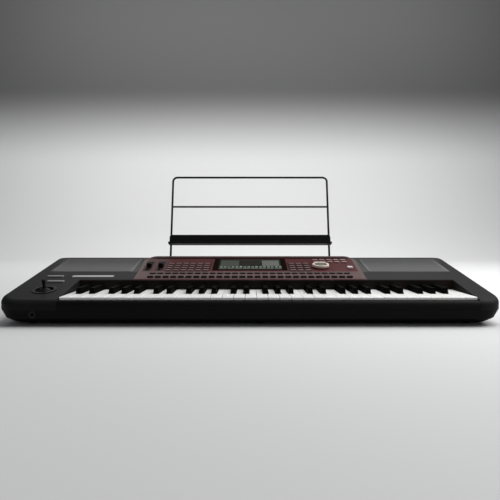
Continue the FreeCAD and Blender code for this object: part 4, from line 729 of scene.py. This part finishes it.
class KEYBOARD_OT_buttons(bpy.types.Operator):
    """Build the push buttons of rows, fields, power button and cheek switches"""

    bl_idname = "keyboard.buttons"
    bl_label = "Buttons"

    def execute(self, context):
        look = context.scene.keyboard_panel
        fine = {"grain": 1100.0, "rough": 0.42, "depth": 0.00006}
        row_paint = moulding("row_cap", look.cap, **fine)
        field_paint = moulding("field_cap", look.field, **fine)
        bright = satin("bright_cap", look.bright, 0.4)
        switch = satin("switch_cap", (0.15, 0.15, 0.153), 0.4, 0.0, (0.05, 1.0, 1.0))
        for node in BUTTON_ROWS:
            self.field(node, row_paint)
        for node in BUTTON_FIELDS:
            self.field(node, field_paint)
        self.field("mode_buttons", moulding("mode_cap", look.mode, **fine))
        self.field("power_button", bright, 0.0004, 32)
        self.field("assign_switches", switch, 0.0005, 48)
        return {"FINISHED"}

    def field(self, node, paint, dish=0.0002, sides=20):
        """Rounded caps in place of a node's plain ones, each with its hidden flange below the plate."""
        left, right, front, back = solids_of(node).T
        _, _, above = deck_of(node)
        flange, flange_tall = 0.0009, 0.0018
        centres = np.stack([left + right, front + back], -1) / 2
        half_wide = (right[0] - left[0]) / 2 - flange
        half_deep = (back[0] - front[0]) / 2 - flange
        low, high = above.min(), above.max()
        tall = high - low
        steps = [
            (1.0, 0.0),
            (-flange, 0.0),
            (-flange, flange_tall),
            (0.0, flange_tall),
            (0.0, tall - 0.0009),
            (0.0002, tall - 0.0003),
            (0.0008, tall),
            (0.0018, tall),
            (1.0, tall),
        ]
        mesh = shell(node + "_caps", [caps(centres, half_wide, half_deep, steps, low, sides, 8.0, dish)])
        piece(node + "_caps", mesh, BODY_OF[node], paint, (node,), 40.0)


class KEYBOARD_OT_display(bpy.types.Operator):
    """Finish the display glass with a plain wordless picture, and its module"""

    bl_idname = "keyboard.display"
    bl_label = "Display"

    def execute(self, context):
        dress(self.picture(), "display_glass")
        dress(satin("display_module_case", (0.05, 0.052, 0.055), 0.5), "display_module")
        soften("display_glass", 0.0008)
        return {"FINISHED"}

    def picture(self):
        """Dark glass with a lit area: a heading bar, two lists of plain bars, tiles and a level row."""
        paint = Paint("lit_display")
        x, along, above = paint.deck()
        wide, deep, front = 0.155, 0.097, 0.0775
        across = x + wide / 2
        up = along - front
        lit = across.between(0.0, wide) * up.between(0.0, deep) * (above > 0.0028)
        drift = paint.noise(30.0, 2.0)
        ground = paint.blend(drift, (0.010, 0.010, 0.009, 1), (0.026, 0.026, 0.023, 1))
        heading = up.between(deep - 0.009, deep)
        bars = ((up % 0.0085) < 0.0048) * up.between(0.034, 0.086)
        left = bars * across.between(0.004, 0.050)
        right = bars * across.between(0.108, 0.151)
        block = across.between(0.056, 0.102) * up.between(0.046, 0.084)
        tiles = ((across % 0.0194) > 0.0022) * up.between(0.004, 0.016)
        rise = paint.noise(110.0, 0.0, 0.5, (1.0, 0.0, 0.0)) * 0.016
        levels = ((across % 0.0097) > 0.0035) * (up > 0.019) * (up < rise + 0.0195)
        areas = (
            (heading, (0.026, 0.028, 0.028, 1)),
            (left, (0.070, 0.075, 0.066, 1)),
            (right, (0.150, 0.155, 0.142, 1)),
            (block, (0.020, 0.017, 0.015, 1)),
            (tiles, (0.060, 0.066, 0.058, 1)),
            (levels, (0.150, 0.190, 0.155, 1)),
        )
        tone = ground
        for area, shown in areas:
            tone = paint.blend(area, tone, shown)
        tone = paint.blend(lit, (0.006, 0.004, 0.003, 1), tone)
        dust = paint.noise(300.0, 3.0) * 0.08 + 0.3
        glow = {"Emission_Color": tone, "Emission_Strength": 0.25}
        return paint.finish(tone, dust, Specular_IOR_Level=0.0, **glow)


class KEYBOARD_OT_faders(bpy.types.Operator):
    """Finish the two faders"""

    bl_idname = "keyboard.faders"
    bl_label = "Faders"

    def execute(self, context):
        for node in FADER_CAPS:
            dress(self.cap(node), node)
            soften(node, 0.0005)
        return {"FINISHED"}

    def cap(self, node):
        """Black cap with a pale line across its middle."""
        paint = Paint(node + "_black")
        _, along, above = paint.deck()
        grit = paint.noise(1200.0, 2.0)
        _, spread, height = deck_of(node)
        middle = float(spread.min() + spread.max()) / 2
        line_half, crown = 0.0007, 0.003
        line = (abs(along - middle) < line_half) * (above > float(height.max()) - crown)
        tone = paint.blend(grit, (0.004, 0.0035, 0.0035, 1), (0.009, 0.008, 0.008, 1))
        tone = paint.blend(line, tone, (0.30, 0.25, 0.24, 1))
        return paint.finish(tone, grit * 0.15 + 0.4, grit, (0.2, 0.00006), Specular_IOR_Level=0.05)


class KEYBOARD_OT_dial(bpy.types.Operator):
    """Build the bright value dial"""

    bl_idname = "keyboard.dial"
    bl_label = "Value dial"

    def execute(self, context):
        look = context.scene.keyboard_dial
        self.knob(look)
        return {"FINISHED"}

    def knob(self, look):
        """Turned knob: each point of the profile has a radius r, a height and a share of the flutes. The
        flank is fluted by r - share * depth * max(0, cos(flutes * turn))^4, and a finger dimple lowers the
        face by dip * (1 - (distance / dimple)^2)^1.5."""
        across, along, above = deck_of("value_dial")
        centre = float(across.min() + across.max()) / 2, float(along.min() + along.max()) / 2
        radius = (across.max() - across.min()) / 2
        low, high = above.min(), above.max()
        foot = plate_level() + 0.0006
        turn = full_turn(look.flutes * 6)
        spindle, face = 0.0029, high - 0.0014
        profile = [
            (0.0, low, 0),
            (spindle, low, 0),
            (spindle, foot, 0),
            (radius - 0.0012, foot, 0),
            (radius, foot + 0.0008, 0.4),
            (radius, foot + 0.0022, 1),
            (radius, high - 0.0032, 1),
            (radius - 0.0002, high - 0.0022, 0.5),
            (radius - 0.0012, high - 0.0005, 0),
            (radius - 0.0024, high, 0),
            (radius - 0.0036, high - 0.0002, 0),
            (radius - 0.0046, high - 0.0008, 0),
            (radius * 0.72, face + 0.0002, 0),
            (radius * 0.62, face + 0.0001, 0),
        ]
        profile = np.array(profile + [(radius * share, face, 0) for share in (0.52, 0.42, 0.32, 0.2, 0.0)])
        depth, dip, dimple = 0.0009, 0.0028, 0.0072
        groove = depth * np.maximum(0, np.cos(look.flutes * turn)) ** 4
        reach = profile[:, :1] - profile[:, 2:] * groove
        wide = reach * np.cos(turn)
        deep = reach * np.sin(turn)
        tall = np.broadcast_to(profile[:, 1:2], wide.shape).copy()
        inner = (profile[:, 0] < radius * 0.8)[:, None] & (profile[:, 1] > high - 0.003)[:, None]
        away = np.hypot(wide - radius * 0.42, deep)
        tall -= inner * dip * np.clip(1 - (away / dimple) ** 2, 0, 1) ** 1.5
        mesh = shell("value_dial_knob", [on_deck(centre[0] + wide, centre[1] + deep, tall)[None]])
        paint = self.metal(look, centre, foot)
        piece("value_dial_knob", mesh, "value_dial", paint, ("value_dial",), 35.0)

    def metal(self, look, middle, foot):
        """Turned metal: a bright rim and flank, a spun middle darkened by painted shade for the dark surroundings
        it reflects, and a black ring round the foot.
        """
        paint = Paint("turned_dial_metal")
        x, along, above = paint.deck()
        aside, uphill = x - middle[0], along - middle[1]
        reach = (aside * aside + uphill * uphill).root()
        waves, dark_foot_tall, dark_face_reach = 2600.0, 0.0016, 0.0160
        lines = (reach * waves).wave() * 0.5 + 0.5
        # A black band round the dial's foot, up to a small height above the plate.
        dark_foot = above < foot + dark_foot_tall
        # Painted shade: the middle of the top is darkened for the dark surroundings it reflects.
        face = (reach < dark_face_reach) * (1 - dark_foot)
        tone = paint.blend(lines, shade(look.metal, 0.9), shade(look.metal, 1.1))
        tone = paint.blend(face, tone, shade(look.metal, 0.13))
        tone = paint.blend(dark_foot, tone, (0.006, 0.006, 0.006, 1))
        gloss = {"Metallic": face * 0.3, "Specular_IOR_Level": 0.15}
        return paint.finish(tone, lines * 0.08 + 0.3, lines, (0.03, 0.00003), **gloss)


class KEYBOARD_OT_grilles(bpy.types.Operator):
    """Build the two perforated speaker grilles and finish the drivers behind them"""

    bl_idname = "keyboard.grilles"
    bl_label = "Speaker grilles"

    def execute(self, context):
        look = context.scene.keyboard_grille
        paint = self.coat(look)
        _, _, above = deck_of("speaker_grilles")
        names = ("speaker_grille_left", "speaker_grille_right")
        for name, (left, right, front, back) in zip(names, solids_of("speaker_grilles")):
            mesh = self.perforated(name, look, left, right, front, back, above.max())
            stands_for = ("speaker_grilles",) if name == names[0] else ()
            grille = piece(name, mesh, "case", paint, stands_for, 0.0)
            wall = grille.modifiers.new("sheet", "SOLIDIFY")
            wall.thickness = look.sheet
            wall.offset = -1.0
        dress(moulding("baffle_board", (0.008, 0.008, 0.008), 500.0, 0.7), "speaker_baffles")
        dress(satin("basket_coat", (0.012, 0.012, 0.012), 0.5), "woofer_baskets")
        dress(self.paper(), "woofer_cones")
        dress(satin("tweeter_plastic", (0.012, 0.012, 0.0122), 0.45), "tweeters")
        return {"FINISHED"}

    def perforated(self, name, look, left, right, front, back, level):
        """Brick-laid cells, each a rectangle of eight points round an eight-sided hole; every other row is
        shifted by half a cell and closed by half blanks, and a plain rim runs round the field."""
        x0, x1 = left + look.rim, right - look.rim
        y0, y1 = front + look.rim, back - look.rim
        columns = int((x1 - x0) / look.pitch - 0.5)
        rows = int((y1 - y0) / (look.pitch * 0.866))
        wide = (x1 - x0) / (columns + 0.5)
        tall = (y1 - y0) / rows
        row, column = np.meshgrid(np.arange(rows), np.arange(columns), indexing="ij")
        across = x0 + (column + 0.5 + 0.5 * (row % 2)) * wide
        centre = np.stack([across, y0 + (row + 0.5) * tall], -1).reshape(-1, 2)
        turn = np.radians(np.arange(-135, 226, 45))
        square = np.sign(np.round(np.stack([np.cos(turn), np.sin(turn)], -1), 3)) * (wide / 2, tall / 2)
        circle = look.hole * np.stack([np.cos(turn), np.sin(turn)], -1)
        cell = np.stack([square, circle])
        holes = centre[:, None, None] + cell
        index = np.arange(rows)
        start = np.where(index % 2, x0, x1 - wide / 2)
        blank_x = np.stack([start, start + wide / 2], -1)
        blank_y = y0 + tall * (index[:, None] + np.array([0, 0.5, 1.0]))
        blanks = np.stack(np.broadcast_arrays(blank_x[:, None, :], blank_y[:, :, None]), -1)
        line_x = np.r_[left, x0 + np.arange(2 * columns + 2) * wide / 2, right]
        line_y = np.r_[front, y0 + np.arange(2 * rows + 1) * tall / 2, back]
        strips = (
            (line_x, line_y[:2]),
            (line_x, line_y[-2:]),
            (line_x[:2], line_y[1:-1]),
            (line_x[-2:], line_y[1:-1]),
        )
        flat = [holes, blanks] + [np.stack(np.meshgrid(*strip), -1)[None] for strip in strips]
        return shell(name, [on_deck(part[..., 0], part[..., 1], level) for part in flat])

    def coat(self, look):
        """Dull coat on the sheet, with a painted reflection that leaves it a little darker up the slope."""
        paint = Paint("grille_coat")
        _, along, _ = paint.deck()
        flow = paint.noise(400.0, 3.0, 0.6)
        # Painted reflection: the sheet is lighter in front and a little darker up the slope.
        fade = paint.ramp(along, *SPEAKER_REFLECTION_FADE)
        tone = paint.blend(fade, shade(look.coat, 1.0), shade(look.coat, SPEAKER_REFLECTION_REAR))
        return paint.finish(tone, flow * 0.12 + 0.44, Specular_IOR_Level=0.06)

    def paper(self):
        """Pressed paper cone with fibres."""
        paint = Paint("cone_paper")
        fibre = paint.noise(900.0, 4.0, 0.7)
        tone = paint.blend(fibre, (0.006, 0.006, 0.006, 1), (0.02, 0.02, 0.02, 1))
        return paint.finish(tone, 0.85, fibre, (0.4, 0.0002))


class KEYBOARD_OT_joystick(bpy.types.Operator):
    """Finish the joystick on the left cheek"""

    bl_idname = "keyboard.joystick"
    bl_label = "Joystick"

    def execute(self, context):
        dish = moulding("joystick_dish", (0.006, 0.006, 0.0062), 900.0, 0.5)
        dress(dish, "joystick_cup", "joystick_gimbal")
        dress(moulding("joystick_rubber", (0.005, 0.005, 0.005), 1100.0, 0.6), "joystick_stick")
        return {"FINISHED"}


class KEYBOARD_OT_sockets(bpy.types.Operator):
    """Finish the sockets on the rear wall and the front edge, and the boards inside"""

    bl_idname = "keyboard.sockets"
    bl_label = "Sockets and boards"

    def execute(self, context):
        black = moulding("socket_black", (0.014, 0.014, 0.0143), 900.0, 0.45)
        dress(black, "midi_sockets", "headphone_jack", "power_inlet")
        dress(self.bushing("line_jacks", 4), "line_jacks")
        dress(satin("socket_steel", (0.5, 0.5, 0.51), 0.3, 1.0), "usb_sockets")
        mask = satin("board_mask", (0.010, 0.065, 0.026), 0.35)
        dress(mask, "main_board", "amplifier_board", "power_supply")
        return {"FINISHED"}

    def bushing(self, node, count):
        """Black collars in a row along x, each with a bright ring round its bore."""
        paint = Paint(node + "_bushing")
        low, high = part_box(node)
        radius = (high[2] - low[2]) / 2
        step = (high[0] - low[0] - 2 * radius) / (count - 1)
        x, _, z = paint.axes()
        across = (x - (low[0] + radius - step / 2)) % step - step / 2
        up = z - (low[2] + high[2]) / 2
        reach = across * across + up * up
        inner, outer = 0.46 * radius, 0.68 * radius
        ring = reach.between(inner**2, outer**2)
        grit = paint.noise(900.0, 2.0)
        tone = paint.blend(grit, (0.011, 0.011, 0.011, 1), (0.017, 0.017, 0.017, 1))
        tone = paint.blend(ring, tone, (0.5, 0.5, 0.51, 1))
        return paint.finish(tone, grit * 0.15 + 0.3, Metallic=ring, Specular_IOR_Level=0.2)


class KEYBOARD_OT_music_rest(bpy.types.Operator):
    """Build the wire music rest and finish its shelf"""

    bl_idname = "keyboard.music_rest"
    bl_label = "Music rest"

    def execute(self, context):
        look = context.scene.keyboard_rest
        paint = satin("black_wire_coat", look.coat, 0.4, brushed=(0.1, 1.0, 1.0))
        self.bent_wire(look, paint)
        self.cross_wire(look, paint)
        dress(moulding("black_shelf_coat", look.coat, 1000.0, 0.5, 0.00006), "music_rest_shelf")
        soften("music_rest_shelf", 0.0004)
        return {"FINISHED"}

    def bent_wire(self, look, paint):
        """Wire carried up one leg, round a quarter circle, across the top and down the other leg."""
        low, high = np.array(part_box("music_rest_frame"))
        lean = np.array(JOINTS["music_rest_lift"]["axis"])
        half = high[0] - look.wire
        summit = np.array([0.0, high[1] - look.wire, high[2] - look.wire])
        leg = (summit[2] - low[2] - look.wire * lean[1]) / lean[2]
        turn = np.linspace(0, np.pi / 2, 13)
        climb = np.linspace(-leg, -look.bend, 30)
        across = np.r_[np.full(len(climb), half), half - look.bend + look.bend * np.cos(turn[1:])]
        rise = np.r_[climb, look.bend * (np.sin(turn[1:]) - 1)]
        across = np.r_[across, -across[::-1]]
        rise = np.r_[rise, rise[::-1]]
        path = summit + rise[:, None] * lean
        path[:, 0] += across
        normal = np.array([0.0, lean[2], -lean[1]])
        mesh = shell("music_rest_wire", [tube(path, normal, look.wire, look.sides)])
        piece("music_rest_wire", mesh, "music_rest", paint, ("music_rest_frame",), 50.0)

    def cross_wire(self, look, paint):
        """Straight round wire between the legs."""
        low, high = np.array(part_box("music_rest_crossbar"))
        middle = (low + high) / 2
        path = np.repeat(middle[None], 24, 0)
        path[:, 0] = np.linspace(low[0], high[0], 24)
        rod = tube(path, (0.0, 0.0, 1.0), (high[2] - low[2]) / 2, look.sides)
        mesh = shell("music_rest_cross_wire", [rod])
        stands_for = ("music_rest_crossbar",)
        piece("music_rest_cross_wire", mesh, "music_rest", paint, stands_for, 50.0)


class KEYBOARD_OT_stage(bpy.types.Operator):
    """Set the floor with its curved backdrop, the soft lights and the camera"""

    bl_idname = "keyboard.stage"
    bl_label = "Stage"

    def execute(self, context):
        look = context.scene.keyboard_stage
        self.cove(look)
        lights = (
            ("overhead", (1.1, 0.15, 1.7), (0.0, 0.0, 0.0), (2.6, 1.3), look.key_power),
            ("rear", (0.0, 1.7, 1.3), (0.0, 0.1, 0.1), (2.6, 0.8), look.rear_power),
            ("fill", (0.0, -2.2, 1.1), (0.0, 0.0, 0.05), (2.4, 1.2), look.fill_power),
            ("backdrop", (0.0, 1.7, 2.3), (0.0, 2.9, 0.7), (4.0, 0.6), look.wall_power),
        )
        for light in lights:
            self.softbox(*light)
        world = bpy.data.worlds.new("studio")
        world.use_nodes = True
        sky = world.node_tree.nodes["Background"].inputs
        sky["Color"].default_value = (0.85, 0.87, 0.9, 1.0)
        sky["Strength"].default_value = 0.22
        context.scene.world = world
        context.scene.view_settings.view_transform = "Standard"
        self.camera(look)
        return {"FINISHED"}

    def cove(self, look):
        """Floor carried along x: flat, then a quarter circle up to a wall that painted shade darkens upwards."""
        front, flat, radius, top, half = -4.0, 1.9, 1.0, 4.0, 6.0
        turn = np.linspace(-np.pi / 2, 0, 17)
        depth = np.r_[front, 0.0, flat + radius * np.cos(turn), flat + radius]
        rise = np.r_[0.0, 0.0, radius + radius * np.sin(turn), top]
        across = np.array([-half, 0.0, half])
        grid = np.stack(np.broadcast_arrays(across[None, :], depth[:, None], rise[:, None]), -1)
        mesh = shell("studio_cove", [grid[None]], turned=False)
        mesh.polygons.foreach_set("use_smooth", np.ones(len(mesh.polygons), bool))
        paint = Paint("cove_paper")
        drift = paint.noise(0.8, 2.0)
        tone = paint.blend(drift, shade(look.floor, 0.97), shade(look.floor, 1.03))
        _, _, height = paint.axes()
        # Painted shade: the wall darkens upwards, standing for less light high on the backdrop.
        wall_shade_low, wall_shade_high, wall_shade = 0.7, 1.35, 0.16
        tone = paint.blend(paint.ramp(height, wall_shade_low, wall_shade_high), tone, shade(look.floor, wall_shade))
        mesh.materials.append(paint.finish(tone, 0.8, Specular_IOR_Level=0.0))
        placed("studio_cove", mesh)

    def softbox(self, name, place, target, size, power):
        """Rectangular light that faces a point."""
        lamp = bpy.data.lights.new(name, "AREA")
        lamp.shape = "RECTANGLE"
        lamp.size, lamp.size_y = size
        lamp.energy = power
        box = placed(name, lamp)
        box.location = place
        aim = np.array(target) - np.array(place)
        aim /= np.linalg.norm(aim)
        box.rotation_euler = (math.asin(aim[1]), math.atan2(-aim[0], -aim[2]), 0.0)

    def camera(self, look):
        """Level eye in front of the keys, tilted a little down."""
        lens = bpy.data.cameras.new("camera")
        lens.lens = look.lens
        lens.sensor_width = 36.0
        eye = placed("camera", lens)
        eye.location = (0.0, -look.eye_back, look.eye_up)
        eye.rotation_euler = (math.pi / 2 - look.tilt, 0.0, 0.0)
        bpy.context.scene.camera = eye


OPERATORS = (
    KEYBOARD_OT_case,
    KEYBOARD_OT_keys,
    KEYBOARD_OT_action,
    KEYBOARD_OT_panel,
    KEYBOARD_OT_buttons,
    KEYBOARD_OT_display,
    KEYBOARD_OT_faders,
    KEYBOARD_OT_dial,
    KEYBOARD_OT_grilles,
    KEYBOARD_OT_joystick,
    KEYBOARD_OT_sockets,
    KEYBOARD_OT_music_rest,
    KEYBOARD_OT_stage,
)


class KEYBOARD_PT_sidebar(bpy.types.Panel):
    """Lists the keyboard's operators and settings"""

    bl_idname = "KEYBOARD_PT_sidebar"
    bl_label = "Arranger keyboard"
    bl_space_type = "VIEW_3D"
    bl_region_type = "UI"
    bl_category = "Keyboard"

    def draw(self, context):
        for operator in OPERATORS:
            self.layout.operator(operator.bl_idname)
        for name, group in GROUPS.items():
            box = self.layout.box()
            settings = getattr(context.scene, name)
            for key in group.__annotations__:
                box.prop(settings, key)


def register():
    for group in GROUPS.values():
        bpy.utils.register_class(group)
    for name, group in GROUPS.items():
        setattr(bpy.types.Scene, name, PointerProperty(type=group))
    for operator in OPERATORS:
        bpy.utils.register_class(operator)
    bpy.utils.register_class(KEYBOARD_PT_sidebar)


def unregister():
    bpy.utils.unregister_class(KEYBOARD_PT_sidebar)
    for operator in reversed(OPERATORS):
        bpy.utils.unregister_class(operator)
    for name in GROUPS:
        delattr(bpy.types.Scene, name)
    for group in reversed(GROUPS.values()):
        bpy.utils.unregister_class(group)


def main():
    register()
    bpy.ops.keyboard.case()
    bpy.ops.keyboard.keys()
    bpy.ops.keyboard.action()
    bpy.ops.keyboard.panel()
    bpy.ops.keyboard.buttons()
    bpy.ops.keyboard.display()
    bpy.ops.keyboard.faders()
    bpy.ops.keyboard.dial()
    bpy.ops.keyboard.grilles()
    bpy.ops.keyboard.joystick()
    bpy.ops.keyboard.sockets()
    bpy.ops.keyboard.music_rest()
    bpy.ops.keyboard.stage()


if __name__ == "__main__":
    main()
